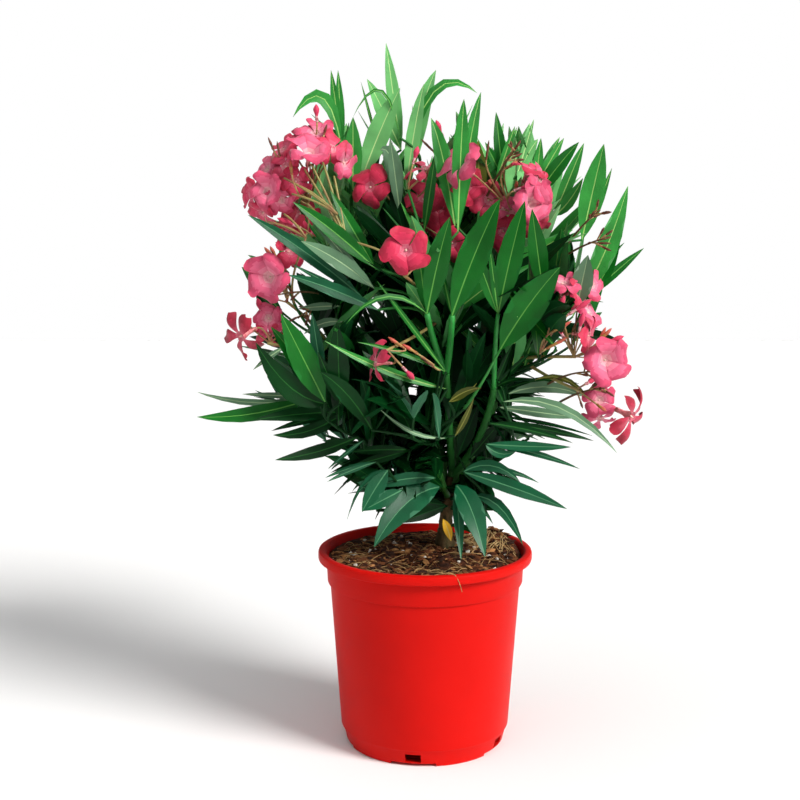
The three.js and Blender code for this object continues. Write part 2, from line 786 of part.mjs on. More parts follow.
// The wood and flowers of a mass. A side shoot, stalk or flower that would leave the mass's space or touch
// other wood is left out.
function growWood(mass, limbs, otherWood) {
  const roll = dice(mass.seed);
  const inside = (point, edge = 1) =>
    awayInCrown(point) < edge && inSpace(point, mass) && aboveGround(point);
  const free = (twig) => {
    const beads = beadsOf(twig);
    const outer = beads.slice(Math.ceil(beads.length * TWIG.ownPart)).map(({ at }) => at);
    return outer.every((point) => inside(point, FLOWER.edge)) && clearOfWood(outer, otherWood);
  };
  const [leader, ...side] = growShoots(mass, limbs.get(mass.limb), roll).map((curve, i) => ({
    curve,
    radiusAt: straightTaper(i ? TWIG.radii : TWIG.leader),
    steps: TWIG.steps,
  }));
  const shoots = [leader, ...side.filter(free)];
  const stalks = [];
  const flowers = [];
  const fits = (flower) => {
    const samples = flowerSamples(flower);
    return samples.every((point) => inside(point, FLOWER.edge)) && clearOfWood(samples, otherWood);
  };
  for (const head of mass.heads) {
    const grown = growHead(head, leader.curve, roll, fits);
    const stalk = { curve: grown.stalk, radiusAt: straightTaper(FLOWER.stalk), steps: TWIG.steps };
    if (!free(stalk)) continue;
    stalks.push(stalk);
    flowers.push(...grown.flowers);
  }
  return { roll, inside, shoots, stalks, flowers };
}

// The leaves of a mass, clear of all wood, its flowers and each other.
function growFoliage(mass, { roll, inside, shoots, flowers }, allWood) {
  const mouths = flowers.map((flower) => flowerSamples(flower)[0]);
  const taken = [];
  const fits = (leaf) => {
    const samples = leafSamples(leaf);
    const free = samples.every(
      (point) =>
        inside(point, leaf.edge) &&
        mouths.every((mouth) => mouth.distanceTo(point) > FLOWER.radius) &&
        taken.every((other) => other.distanceTo(point) > LEAF.apart),
    );
    if (!free || !clearOfWood(samples, allWood)) return false;
    taken.push(...samples);
    return true;
  };
  const farLeaves = growFarLeaves(mass, shoots, fits);
  return [...farLeaves, ...shoots.flatMap(({ curve }) => growLeaves(curve, mass, roll, fits))];
}

function buildMass(mass, { shoots, stalks, flowers }, leaves, limbs) {
  const wood = [...shoots, ...stalks].map(({ curve, steps, radiusAt }) =>
    limbSolid(curve, TWIG.sides, steps, radiusAt),
  );
  const solid = wasm.Manifold.union([...wood, ...leaves.map(leafSolid), ...flowers.map(flowerSolid)]);
  return largestBody(mass.at ? solid.subtract(widened(limbs.get(mass.limb))) : solid);
}

// ---- Assembly ----

const finish = {
  pot: new THREE.MeshStandardMaterial({ color: 0xd6261e, roughness: 0.5, metalness: 0 }),
  soil: new THREE.MeshStandardMaterial({ color: 0x4a2a1a, roughness: 0.95, metalness: 0 }),
  bark: new THREE.MeshStandardMaterial({ color: 0x5b4a33, roughness: 0.9, metalness: 0 }),
  stem: new THREE.MeshStandardMaterial({ color: 0x2f7a2c, roughness: 0.6, metalness: 0 }),
  foliage: new THREE.MeshStandardMaterial({ color: 0x1f6b2a, roughness: 0.5, metalness: 0 }),
};

const oleander = new THREE.Group();
oleander.add(meshOf("pot", buildPot(), finish.pot));
oleander.add(meshOf("soil", buildSoil(), finish.soil));
const limbs = layOutLimbs();
for (const limb of limbs.values()) {
  oleander.add(meshOf(limb.name, buildLimb(limb, limbs), limb.parent ? finish.stem : finish.bark));
}
const wood = [...limbs.values()].flatMap(beadsOf);
const grown = MASSES.map((mass) => {
  const growth = growWood(mass, limbs, wood);
  wood.push(...[...growth.shoots, ...growth.stalks].flatMap(beadsOf));
  return growth;
});
MASSES.forEach((mass, i) => {
  const leaves = growFoliage(mass, grown[i], wood);
  oleander.add(meshOf(mass.name, buildMass(mass, grown[i], leaves, limbs), finish.foliage));
});

export default oleander;
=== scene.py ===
"""The looks of the potted oleander. Lengths are in millimetres until a mesh is made, and then in metres.

The plant grows here by the same rule as its solids: boughs on the trunk, a leader and side shoots on each
bough, and whorls of three leaves up each shoot. Here the rule goes on to finer twigs, more leaves and whole
flowers.
"""

import math

import bpy
import numpy as np
from mathutils import Matrix, Vector, noise


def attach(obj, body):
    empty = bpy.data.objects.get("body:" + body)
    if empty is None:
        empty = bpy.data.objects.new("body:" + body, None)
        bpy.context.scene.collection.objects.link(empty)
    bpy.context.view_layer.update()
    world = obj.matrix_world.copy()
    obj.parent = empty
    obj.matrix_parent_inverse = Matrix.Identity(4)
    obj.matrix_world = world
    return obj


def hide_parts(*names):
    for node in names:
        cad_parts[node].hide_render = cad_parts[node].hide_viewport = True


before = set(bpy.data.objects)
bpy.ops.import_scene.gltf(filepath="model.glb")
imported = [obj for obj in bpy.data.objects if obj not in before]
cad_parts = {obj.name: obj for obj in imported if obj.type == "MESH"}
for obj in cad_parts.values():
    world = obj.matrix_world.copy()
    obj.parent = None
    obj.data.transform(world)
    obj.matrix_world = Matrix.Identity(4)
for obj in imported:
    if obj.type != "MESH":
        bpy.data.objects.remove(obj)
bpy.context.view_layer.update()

MM = 0.001
UP = Vector((0, 0, 1))
GOLDEN_ANGLE = math.pi * (3 - math.sqrt(5))

# ---- Sizes that the solids share ----

GAP = 0.3
POT = {
    "height": 205,
    "lip_radius": 111,
    "lip_height": 10,
    "collar_radius": 101.5,
    "collar_height": 34,
    "wall_top_radius": 98.8,
    "wall_foot_radius": 88,
    "band_height": 18,
    "foot_radius": 82,
    "wall": 2,
    "step": 1.2,
    "recess": 3.5,
    "foot_width": 11,
    "disc_radius": 26,
}
DRAIN = {"count": 5, "first_angle": -99, "slot": (16, 9), "slot_bottom": 4.5, "notch_width": 46, "depth": 22}
SOIL = {
    "edge_height": 197,
    "mound": 6,
    "mound_radius": 78,
    "plateau_radius": 44,
    "heap": {"x": 76, "y": 34, "height": 14, "radius": 30},
}
TRUNK = {
    "foot": (21, 12),
    "top": (28, 12, 278),
    "radius": 6.6,
    "top_radius": 5.6,
    "flare": 5.2,
    "flare_height": 13,
    "lobes": 4,
}
# name: parent, share of the parent where it leaves, tip, radii
BOUGHS = {
    "bough_centre": ("trunk", 1, (22, 0, 384), (5, 4)),
    "bough_right": ("trunk", 0.86, (72, -8, 362), (4.4, 3.6)),
    "bough_left": ("trunk", 0.76, (-52, -4, 350), (4.4, 3.4)),
    "bough_back": ("trunk", 0.68, (0, 38, 440), (4.6, 3.5)),
    "bough_top_left": ("bough_back", 0.32, (-54, 24, 426), (3.8, 3.3)),
    "bough_top_right": ("bough_back", 0.2, (66, 34, 420), (3.8, 3.3)),
    "bough_left_low": ("bough_left", 0.3, (-34, -28, 304), (3.4, 3.1)),
    "bough_right_low": ("bough_right", 0.16, (70, -20, 300), (3.4, 3)),
    "bough_rear": ("bough_back", 0.12, (14, 74, 370), (3.8, 3.2)),
    "bough_rear_low": ("trunk", 0.6, (12, 62, 304), (3.6, 3.1)),
    "bough_front_low": ("trunk", 0.7, (10, -32, 308), (3.4, 3)),
}
LIMB_SWEEP = 0.6
CROWN = {"heart": (2, 4, 456), "reach": (228, 208, 268)}
UPRIGHT = {"open": (68, 18), "droop": 0.06, "leaf": 142, "spread": 85, "lift": 0.6}
SPREADING = {"open": (80, 30), "droop": 0.16, "leaf": 124, "spread": 105, "lift": 0.3}
HANGING = {"open": (70, 16), "droop": 0.42, "leaf": 112, "spread": 110, "lift": 0}


def mass(name, limb, heart, reach, habit, shoots, seed, at=1, heads=()):
    return {
        "name": name,
        "limb": limb,
        "heart": heart,
        "reach": reach,
        "habit": habit,
        "shoots": shoots,
        "seed": seed,
        "at": at,
        "heads": heads,
    }


# heads: x, y, z and number of flowers
MASSES = [
    mass("foliage_centre", "bough_centre", (18, -72, 482), (106, 100, 124), UPRIGHT, 8, 1000,
         heads=((-22, -108, 494, 0), (-40, -116, 424, 0))),
    mass("foliage_top", "bough_back", (-10, 30, 596), (90, 120, 130), UPRIGHT, 7, 1001,
         heads=((-30, -26, 556, 6),)),
    mass("foliage_top_left", "bough_top_left", (-104, 4, 562), (86, 120, 116), UPRIGHT, 6, 1002,
         heads=((-118, -24, 560, 15),)),
    mass("foliage_top_right", "bough_top_right", (104, 16, 556), (104, 124, 112), UPRIGHT, 9, 1003,
         heads=((86, -30, 552, 10),)),
    mass("foliage_left", "bough_left", (-124, -14, 432), (100, 122, 98), SPREADING, 7, 1034,
         heads=((-138, -50, 466, 6), (-156, -48, 424, 5))),
    mass("foliage_right", "bough_right", (130, -14, 424), (102, 122, 98), SPREADING, 8, 1005,
         heads=((146, -58, 412, 6), (150, -52, 378, 6))),
    mass("foliage_rear", "bough_rear", (6, 116, 474), (132, 94, 124), UPRIGHT, 8, 1036,
         heads=((-84, 140, 520, 7), (70, 150, 520, 8))),
    mass("foliage_left_low", "bough_left_low", (-88, -40, 332), (126, 112, 70), SPREADING, 7, 1047),
    mass("foliage_right_low", "bough_right_low", (102, -34, 322), (114, 112, 68), SPREADING, 7, 1008),
    mass("foliage_front_low", "bough_front_low", (8, -84, 346), (84, 96, 66), SPREADING, 6, 1009),
    mass("foliage_rear_low", "bough_rear_low", (6, 104, 336), (144, 92, 72), SPREADING, 6, 1010),
    mass("skirt_left", "trunk", (-36, -18, 250), (98, 88, 54), HANGING, 5, 1011, at=0.52),
    mass("skirt_right", "trunk", (74, -16, 250), (94, 88, 54), HANGING, 5, 1012, at=0.56),
    mass("skirt_back", "trunk", (18, 74, 256), (100, 88, 54), HANGING, 5, 1013, at=0.44),
]
TWIG = {
    "parting": (0.12, 0.6),
    "leader": (3, 1.7),
    "radii": (2, 1.3),
    "depth": 0.4,
    "first_whorl": 0.2,
    "last_whorl": 0.98,
    "leaves_per_whorl": 3,
    # twigs that end below this height get SHADED_TWIG, a painted shade
    "shaded_below": 420,
}
FLOWER = {
    "rooted": 0.97,
    "pedicel": (14, 13),
    "parting": 0.45,
    "cone": 78,
    "tilt": 50,
    "stalk": (1.8, 1.5),
    # distances ahead of a flower's foot, and radii, where no leaf grows
    "kept_free": ((-4, 10), (18, 20), (42, 22), (68, 20)),
    "apart": 31,
    "behind": -16,  # y past which seeded flowers stand: those in front are placed one by one
    "disc": 17,  # radius that has to stay in sight
    "stalk_sweep": 0.4,
    "outward": 0.6,
    "sizes": (0.92, 0.2),
}

# ---- Sizes that only the looks have ----

SEEDS = {"leaves": 500, "flowers": 9, "litter": 77}  # that for leaves is added to the mass's own
RAGGED = (0.8, 1.03)  # how far leaves reach, as a share of the crown's reach
TOP_REACH = 238  # of the crown above its heart, apart from a few taller sprays
LOW_REACH = 250
LOW_NARROWING = 0.3  # of the crown at its lowest, as a share of its width
LOW_SHIFT = 22  # of the crown's middle, towards the trunk, at its lowest
INTERNODE = 21  # between whorls
FINE = {"twigs": 1, "parting": (0.45, 0.8), "lean": 34, "length": (34, 56), "radii": (1.5, 1.0),
        "rise": 0.2, "edge": 0.86, "clear": 6, "leaf": 0.9}
LEAF = {
    "width": 0.19,  # of its length
    "width_spread": 0.05,
    "shares": (1, 0.9),
    "turns": (0, 0.4),
    "young": 0.34,  # how much shorter a leaf at a shoot's tip is
    "twist": 1.1,
    "crowding": 0.22,  # share of a leaf that may pass through space another leaf takes
    "hiding": 1,  # of a leaf's 19 points may stand in front of what has to stay in sight
    "cell": 4.5,
    "thickness": 0.5,
    "fold": 0.16,
    "rib": (0.7, 0.2),
    "midway": (0.56, 0.72, 0.4),  # out, raised and rippled, as shares of the edge's
    "ripple": 0.07,
    "open_spread": 16,
    "lengths": (0.82, 0.34),  # of its habit's, at least and how much more
    "droops": (0.3, 1.4),
    "own_twist": 0.9,
    "clear": 1.5,  # of wood, pot, soil and floor
    "probes": (0.25, 0.38, 0.5, 0.62, 0.74, 0.87),
    "taper": 0.36,
}
# Leaves along the boughs inside the crown, in the "shade" and "deep" tints as painted shade.
INNER = {
    "open": (86, 60),
    "droop": 0.24,
    "leaf": 96,
    "lift": 0.05,
    "internode": 9,
    "rounds": (("shade", 1.0), ("deep", 0.8), ("shade", 0.62)),
    "seed": 77,
}
SHADED = {"depth": 0.62, "top": 520, "share": 0.7}  # sprays in the crown's middle, given the dark tints as painted shade
STATIONS = (0, 0.05, 0.15, 0.3, 0.46, 0.62, 0.78, 0.91, 1)


# ---- Curves ----


class Sweep:
    """A quadratic curve from a to c that leaves towards b."""

    def __init__(self, a, b, c):
        self.a, self.b, self.c = Vector(a), Vector(b), Vector(c)

    def at(self, t):
        s = 1 - t
        return self.a * (s * s) + self.b * (2 * s * t) + self.c * (t * t)

    def heading(self, t):
        return ((self.b - self.a) * (1 - t) + (self.c - self.b) * t).normalized()

    def length(self):
        points = [self.at(i / 200) for i in range(201)]
        return sum((q - p).length for p, q in zip(points, points[1:]))


def dice(seed):
    """Repeatable random numbers from 0 to 1."""
    state = seed & 0xFFFFFFFF

    def roll():
        nonlocal state
        state = (state * 1664525 + 1013904223) & 0xFFFFFFFF
        return state / 2**32

    return roll


def lerp(a, b, t):
    return a + (b - a) * t


def spread(sizes, chance):
    """A size from a pair: what it is at least, and how much more it may be."""
    least, more = sizes
    return least + more * chance


def smoothstep(x, low, high):
    t = min(1, max(0, (x - low) / (high - low)))
    return t * t * (3 - 2 * t)


def sweep_curve(start, tip, sweep=LIMB_SWEEP):
    elbow = (lerp(start.x, tip.x, sweep), lerp(start.y, tip.y, sweep), lerp(start.z, tip.z, 1 - sweep))
    return Sweep(start, elbow, tip)


def onward_curve(end, heading, tip):
    start = end + heading * GAP
    return Sweep(start, start + heading * (0.4 * (tip - start).length), tip)


def across(direction):
    u = UP.cross(direction)
    if u.length < 0.05:
        u = Vector((1, 0, 0))
    u.normalize()
    return u, direction.cross(u).normalized()


def leaning(axis, angle, turn):
    u, v = across(axis)
    out = u * math.cos(turn) + v * math.sin(turn)
    return axis * math.cos(angle) + out * math.sin(angle)


def on_twig(curve, share, steps=2):
    """The point at a share of a twig, on the straight pieces that its solid is made of."""
    piece = min(int(share * steps), steps - 1)
    return curve.at(piece / steps).lerp(curve.at((piece + 1) / steps), share * steps - piece)


# ---- Camera, as the photograph was taken ----

CAMERA = {"x": -26, "away": 1395, "height": 569, "pitch": 8.5, "focal_px": 1376, "frame_px": 800}
EYE = Vector((CAMERA["x"], -CAMERA["away"], CAMERA["height"]))
PITCH = math.radians(CAMERA["pitch"])
MIDDLE_PX = CAMERA["frame_px"] / 2


def make_camera():
    data = bpy.data.cameras.new("camera")
    data.sensor_width = 36
    data.lens = data.sensor_width * CAMERA["focal_px"] / CAMERA["frame_px"]
    data.clip_end = 50
    camera = bpy.data.objects.new("camera", data)
    camera.location = EYE * MM
    camera.rotation_euler = (math.radians(90 - CAMERA["pitch"]), 0, 0)
    bpy.context.scene.collection.objects.link(camera)
    bpy.context.scene.camera = camera


def at_pixel(u, v, y):
    """The point that the camera sees at pixel (u, v), at a distance y behind the pot's axis."""
    ahead = Vector((0, math.cos(PITCH), -math.sin(PITCH)))
    up = Vector((0, math.sin(PITCH), math.cos(PITCH)))
    ray = ahead * CAMERA["focal_px"] + Vector((1, 0, 0)) * (u - MIDDLE_PX) - up * (v - MIDDLE_PX)
    return EYE + ray * ((y - EYE.y) / ray.y)


def to_pixel(point):
    """Where the camera sees a point."""
    away = point - EYE
    ahead = away.y * math.cos(PITCH) - away.z * math.sin(PITCH)
    up = away.y * math.sin(PITCH) + away.z * math.cos(PITCH)
    scale = CAMERA["focal_px"] / ahead
    return MIDDLE_PX + away.x * scale, MIDDLE_PX - up * scale


class Sky:
    """The small cells of the picture where the backdrop shows between the leaves."""

    cell = 2

    def __init__(self, places):
        self.cells = set()
        for u, v, radius in places:
            reach = math.ceil(radius)
            for across_px in range(-reach, reach + 1):
                for down_px in range(-reach, reach + 1):
                    if math.hypot(across_px, down_px) <= radius:
                        self.cells.add(((u + across_px) // self.cell, (v + down_px) // self.cell))

    def hidden_by(self, points):
        """Whether any of the points stands in front of it."""
        for point in points:
            u, v = to_pixel(point)
            if (int(u // self.cell), int(v // self.cell)) in self.cells:
                return True
        return False


class View:
    """The cells of the picture where something has to stay in sight, with how far back it is."""

    cell = 4

    def __init__(self):
        self.cells = {}

    def key(self, point):
        u, v = to_pixel(point)
        return int(u // self.cell), int(v // self.cell)

    def keep(self, points):
        for point in points:
            key = self.key(point)
            self.cells[key] = min(point.y, self.cells.get(key, math.inf))

    def hidden_by(self, points):
        """How many of the points stand in front of what has to stay in sight."""
        return sum(point.y < self.cells.get(self.key(point), -math.inf) for point in points)


# ---- Materials ----


def linear(r, g, b):
    """A colour of 0 to 255 as the renderer's own."""
    return tuple((c / 255 / 12.92) if c < 11 else ((c / 255 + 0.055) / 1.055) ** 2.4 for c in (r, g, b))


def shade(color, by):
    return tuple(min(1, c * by) for c in color) + (1,)


def make_material(name, color, rough, patchy=(0.85, 1.12), scale=40, bump=0.0, bump_scale=400, specular=0.5,
                  sheen=0.0, stretch=(1, 1, 1), second=None):
    """A surface whose colour is patchy at a scale, with a fine bump. second is the colour of some patches."""
    material = bpy.data.materials.new(name)
    material.use_nodes = True
    nodes = material.node_tree.nodes
    links = material.node_tree.links
    shader = nodes["Principled BSDF"]
    shader.inputs["Roughness"].default_value = rough
    shader.inputs["Specular IOR Level"].default_value = specular
    shader.inputs["Sheen Weight"].default_value = sheen

    def new_node(kind, **inputs):
        made = nodes.new(kind)
        for key, value in inputs.items():
            made.inputs[key].default_value = value
        return made

    place = new_node("ShaderNodeTexCoord")
    mapping = new_node("ShaderNodeMapping", Scale=stretch)
    links.new(place.outputs["Object"], mapping.inputs["Vector"])
    patches = new_node("ShaderNodeTexNoise", Scale=scale, Detail=4)
    links.new(mapping.outputs["Vector"], patches.inputs["Vector"])
    ramp = new_node("ShaderNodeValToRGB")
    stops = (0.32, shade(second or color, patchy[0])), (0.68, shade(color, patchy[1]))
    for element, (position, tone) in zip(ramp.color_ramp.elements, stops):
        element.position = position
        element.color = tone
    links.new(patches.outputs["Fac"], ramp.inputs["Fac"])
    links.new(ramp.outputs["Color"], shader.inputs["Base Color"])
    if bump:
        grain = new_node("ShaderNodeTexNoise", Scale=bump_scale, Detail=3)
        links.new(mapping.outputs["Vector"], grain.inputs["Vector"])
        relief = new_node("ShaderNodeBump", Strength=bump, Distance=0.0006)
        links.new(grain.outputs["Fac"], relief.inputs["Height"])
        links.new(relief.outputs["Normal"], shader.inputs["Normal"])
    return material


# Leaf tints, each dealt out to whole sprays: upper face, rib and underside.
# "shade" is painted shade, a darker copy of the greens; "deep" is a dark green, also used as painted shade.
TINTS = {
    "young": ((112, 190, 110), (190, 228, 152), (130, 194, 128)),
    "fresh": ((50, 142, 56), (150, 200, 108), (84, 160, 90)),
    "mature": ((6, 96, 20), (90, 156, 66), (28, 106, 40)),
    "deep": ((2, 50, 14), (36, 92, 38), (12, 66, 30)),
    "shade": ((2, 40, 12), (16, 66, 26), (8, 52, 20)),
    "blue": ((14, 82, 50), (74, 132, 92), (60, 114, 84)),
    "grey": ((92, 128, 96), (150, 180, 136), (132, 160, 134)),
    "olive": ((84, 92, 28), (150, 150, 70), (104, 112, 54)),
    "dead": ((214, 166, 40), (220, 190, 96), (190, 150, 60)),
}
TINT_NAMES = list(TINTS)
GLOSS = {"upper": 0.25, "rib": 0.2, "under": 0.12}
DULLER = {"deep": 0.6, "shade": 0.3}  # share of that gloss that leaves in the plant's own shade have


def leaf_materials():
    """Three for each tint, in the order of TINTS: upper face, rib, underside."""
    made = []
    for name, (upper, rib, under) in TINTS.items():
        dull = DULLER.get(name, 1)
        gloss = {face: share * dull for face, share in GLOSS.items()}
        made.extend([
            make_material("leaf_" + name, linear(*upper), 0.4, (0.72, 1.2), 26, 0.25, 700, gloss["upper"]),
            make_material("rib_" + name, linear(*rib), 0.5, (0.9, 1.08), 60, specular=gloss["rib"]),
            make_material("underside_" + name, linear(*under), 0.55, (0.8, 1.14), 30, 0.25, 700,
                          gloss["under"]),
        ])
    return made


# ---- Meshes ----


def make_piece(name, points, faces, materials, indices=None, smooth=True):
    """An object of points in millimetres. indices are the faces' places in the list of materials."""
    mesh = bpy.data.meshes.new(name)
    mesh.from_pydata((np.asarray(points, dtype=float) * MM).tolist(), [], faces)
    for material in materials:
        mesh.materials.append(material)
    if indices is not None:
        mesh.polygons.foreach_set("material_index", np.asarray(indices, dtype=np.int32))
    mesh.polygons.foreach_set("use_smooth", [smooth] * len(mesh.polygons))
    mesh.update()
    piece = bpy.data.objects.new(name, mesh)
    bpy.context.scene.collection.objects.link(piece)
    return piece


class Pile:
    """Points and faces of many shapes that end in one piece."""

    def __init__(self):
        self.points, self.faces, self.indices = [], [], []

    def add(self, points, faces, index):
        start = len(self.points)
        self.points.extend(tuple(p) for p in points)
        self.faces.extend(tuple(start + i for i in face) for face in faces)
        self.indices.extend([index] * len(faces) if isinstance(index, int) else index)

    def piece(self, name, materials, smooth=True):
        return make_piece(name, self.points, self.faces, materials, self.indices, smooth)


def ring_of(radius, sides, z):
    """Points round the upright axis."""
    turns = (2 * math.pi * i / sides for i in range(sides))
    return [(radius * math.cos(turn), radius * math.sin(turn), z) for turn in turns]


def quads_between(rows, sides):
    """Faces between rings of points that follow one another."""
    faces = []
    for k in range(rows):
        for i in range(sides):
            j = (i + 1) % sides
            faces.append((k * sides + i, k * sides + j, (k + 1) * sides + j, (k + 1) * sides + i))
    return faces


def tube_shape(curve, radius_at, sides, steps):
    """Points and faces of a tube. radius_at gives its radius at a share of its length and a turn round it."""
    points = []
    for k in range(steps + 1):
        t = k / steps
        u, v = across(curve.heading(t))
        centre = curve.at(t)
        for i in range(sides):
            turn = 2 * math.pi * i / sides
            radius = radius_at(t, turn)
            points.append(centre + u * (radius * math.cos(turn)) + v * (radius * math.sin(turn)))
    faces = quads_between(steps, sides)
    faces.append(tuple(range(sides - 1, -1, -1)))
    faces.append(tuple(steps * sides + i for i in range(sides)))
    return points, faces


# ---- Pot and soil ----


def soil_height(x, y):
    foot_x, foot_y = TRUNK["foot"]
    away = math.hypot(x - foot_x, y - foot_y)
    share = smoothstep(away, SOIL["plateau_radius"], SOIL["mound_radius"])
    heap = SOIL["heap"]
    heaped = math.hypot(x - heap["x"], y - heap["y"]) / heap["radius"]
    heap_share = 0 if away < SOIL["plateau_radius"] else math.exp(-heaped * heaped * 2)
    return SOIL["edge_height"] + SOIL["mound"] * (1 - share) + heap["height"] * heap_share


def inner_radius(z):
    top = POT["height"] - POT["collar_height"]
    if z > top:
        collar = POT["collar_radius"]
        return lerp(collar, collar + 1, (z - top) / POT["collar_height"]) - POT["wall"]
    share = (z - POT["band_height"]) / (top - POT["band_height"])
    return lerp(POT["wall_foot_radius"], POT["wall_top_radius"], share) - POT["wall"]


def pot_profile():
    """Radius and height round the wall, from the middle of the underside to that of the floor inside."""
    height, step, recess = POT["height"], POT["step"], POT["recess"]
    collar = height - POT["collar_height"]
    lip = height - POT["lip_height"]
    foot = POT["foot_radius"]
    inner_foot = foot - POT["foot_width"]
    band = POT["band_height"]
    return [
        (0, 0),
        (POT["disc_radius"], 0),
        (POT["disc_radius"] + recess, recess),
        (inner_foot, recess),
        (inner_foot + 1, 0),
        (foot - 1.2, 0),
        (foot, 0.8),
        (POT["wall_foot_radius"] - step - 0.5, band - 0.6),
        (POT["wall_foot_radius"] - step, band),
        (POT["wall_foot_radius"] - 0.4, band + 0.3),
        (POT["wall_foot_radius"], band + step),
        (POT["wall_top_radius"] - 0.3, collar - 3),
        (POT["wall_top_radius"], collar - 0.4),
        (POT["wall_top_radius"] + 0.5, collar),
        (POT["collar_radius"] - 0.5, collar + 0.5),
        (POT["collar_radius"], collar + step + 0.4),
        (POT["collar_radius"] + 0.9, lip - 1.4),
        (POT["collar_radius"] + 2.2, lip - 0.2),
        (POT["lip_radius"] - 2, lip),
        (POT["lip_radius"] - 0.4, lip + 0.7),
        (POT["lip_radius"], lip + 2.2),
        (POT["lip_radius"], height - 3),
        (POT["lip_radius"] - 0.7, height - 1),
        (POT["lip_radius"] - 2.4, height),
        (POT["lip_radius"] - 6, height),
        (POT["lip_radius"] - 7.6, height - 1),
        (inner_radius(lip) + 0.4, lip + 2),
        (inner_radius(lip), lip),
        (inner_radius(collar + step), collar + step),
        (inner_radius(collar), collar),
        (inner_radius(band), band),
        (foot - POT["wall"], recess + POT["wall"]),
        (0, recess + POT["wall"]),
    ]


def lathe(profile, sides):
    points = [(0, 0, profile[0][1])]
    for radius, z in profile[1:-1]:
        points.extend(ring_of(radius, sides, z))
    points.append((0, 0, profile[-1][1]))
    rings = len(profile) - 2
    faces = []
    for i in range(sides):
        j = (i + 1) % sides
        faces.append((0, 1 + j, 1 + i))
        last = 1 + (rings - 1) * sides
        faces.append((last + i, last + j, len(points) - 1))
        for k in range(rings - 1):
            a, b = 1 + k * sides, 1 + (k + 1) * sides
            faces.append((a + i, a + j, b + j, b + i))
    return points, faces


def box_shape(size, centre, angle):
    """A box turned about the pot's axis."""
    turn = Matrix.Rotation(angle, 3, "Z")
    corners = [(x, y, z) for x in (-0.5, 0.5) for y in (-0.5, 0.5) for z in (-0.5, 0.5)]
    points = [turn @ Vector([centre[a] + size[a] * corner[a] for a in range(3)]) for corner in corners]
    faces = [(0, 1, 3, 2), (4, 6, 7, 5), (0, 4, 5, 1), (2, 3, 7, 6), (0, 2, 6, 4), (1, 5, 7, 3)]
    return points, faces


POT_SIDES = 144
SHARP_ANGLE = 38  # past which an edge isn't smoothed


def make_pot():
    red = make_material("pot_plastic", linear(204, 18, 12), 0.45, (0.93, 1.05), 9, 0.35, 1500, specular=0.06)
    points, faces = lathe(pot_profile(), POT_SIDES)
    pot = make_piece("pot_shell", points, faces, [red])
    cutters = Pile()
    slot_width, slot_height = DRAIN["slot"]
    for i in range(DRAIN["count"]):
        angle = math.radians(DRAIN["first_angle"] + 360 / DRAIN["count"] * i)
        slot_centre = (POT["foot_radius"], 0, DRAIN["slot_bottom"] + slot_height / 2)
        notch = (DRAIN["depth"], DRAIN["notch_width"], 2 * POT["recess"])
        cutters.add(*box_shape((DRAIN["depth"], slot_width, slot_height), slot_centre, angle), 0)
        cutters.add(*box_shape(notch, (POT["foot_radius"], 0, 0), angle), 0)
    cutter = cutters.piece("cutter", [red])
    cut = pot.modifiers.new("slots", "BOOLEAN")
    cut.object = cutter
    cut.use_self = True
    pot.data = baked_mesh(pot)
    pot.modifiers.clear()
    bpy.data.objects.remove(cutter)
    pot.data.polygons.foreach_set("use_smooth", [True] * len(pot.data.polygons))
    pot.data.set_sharp_from_angle(angle=math.radians(SHARP_ANGLE))
    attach(pot, "root")
    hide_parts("pot")


def baked_mesh(piece):
    graph = bpy.context.evaluated_depsgraph_get()
    return bpy.data.meshes.new_from_object(piece.evaluated_get(graph))


# Lumps of the soil: how close together, and how high.
LUMPS = {"coarse": (0.06, 2.2), "medium": (0.19, 1.8), "fine": (0.55, 1.6)}
# "even" draws the rings together towards the wall, and the lumps settle from a share of the radius outwards.
BED = {"rings": 70, "sides": 200, "even": 0.85, "settled": 0.7, "settled_from": 0.93, "wall_gap": 0.4}


def crumbs(x, y):
    """Height of the soil's lumps at a place."""
    place = Vector((x, y, 0))
    (coarse, coarse_height), (medium, medium_height), (fine, fine_height) = LUMPS.values()
    height = coarse_height * noise.noise(place * coarse)
    height += medium_height * noise.noise(place * medium + Vector((7, 3, 0)))
    return height + fine_height * abs(noise.noise(place * fine + Vector((1, 9, 0))))


def make_soil():
    earth = make_material("soil_mix", linear(74, 40, 24), 0.95, (0.45, 1.3), 420, 1.0, 900, specular=0.2)
    rim = inner_radius(SOIL["edge_height"]) - BED["wall_gap"]
    rings, sides = BED["rings"], BED["sides"]
    points = [(0, 0, soil_height(0, 0) + crumbs(0, 0))]
    for k in range(1, rings + 1):
        radius = rim * (k / rings) ** BED["even"]
        settled = 1 - BED["settled"] * smoothstep(k / rings, BED["settled_from"], 1)
        for i in range(sides):
            turn = 2 * math.pi * i / sides
            x, y = radius * math.cos(turn), radius * math.sin(turn)
            points.append((x, y, soil_height(x, y) + crumbs(x, y) * settled))
    collar = POT["height"] - POT["collar_height"]
    for z in (collar + POT["step"] + 4, collar + POT["step"]):
        points.extend(ring_of(inner_radius(z) - BED["wall_gap"], sides, z))
    faces = [(0, 1 + i, 1 + (i + 1) % sides) for i in range(sides)]
    for k in range(rings + 1):
        a, b = 1 + k * sides, 1 + (k + 1) * sides
        faces.extend((a + i, b + i, b + (i + 1) % sides, a + (i + 1) % sides) for i in range(sides))
    soil = make_piece("soil_bed", points, faces, [earth])
    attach(soil, "root")
    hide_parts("soil")


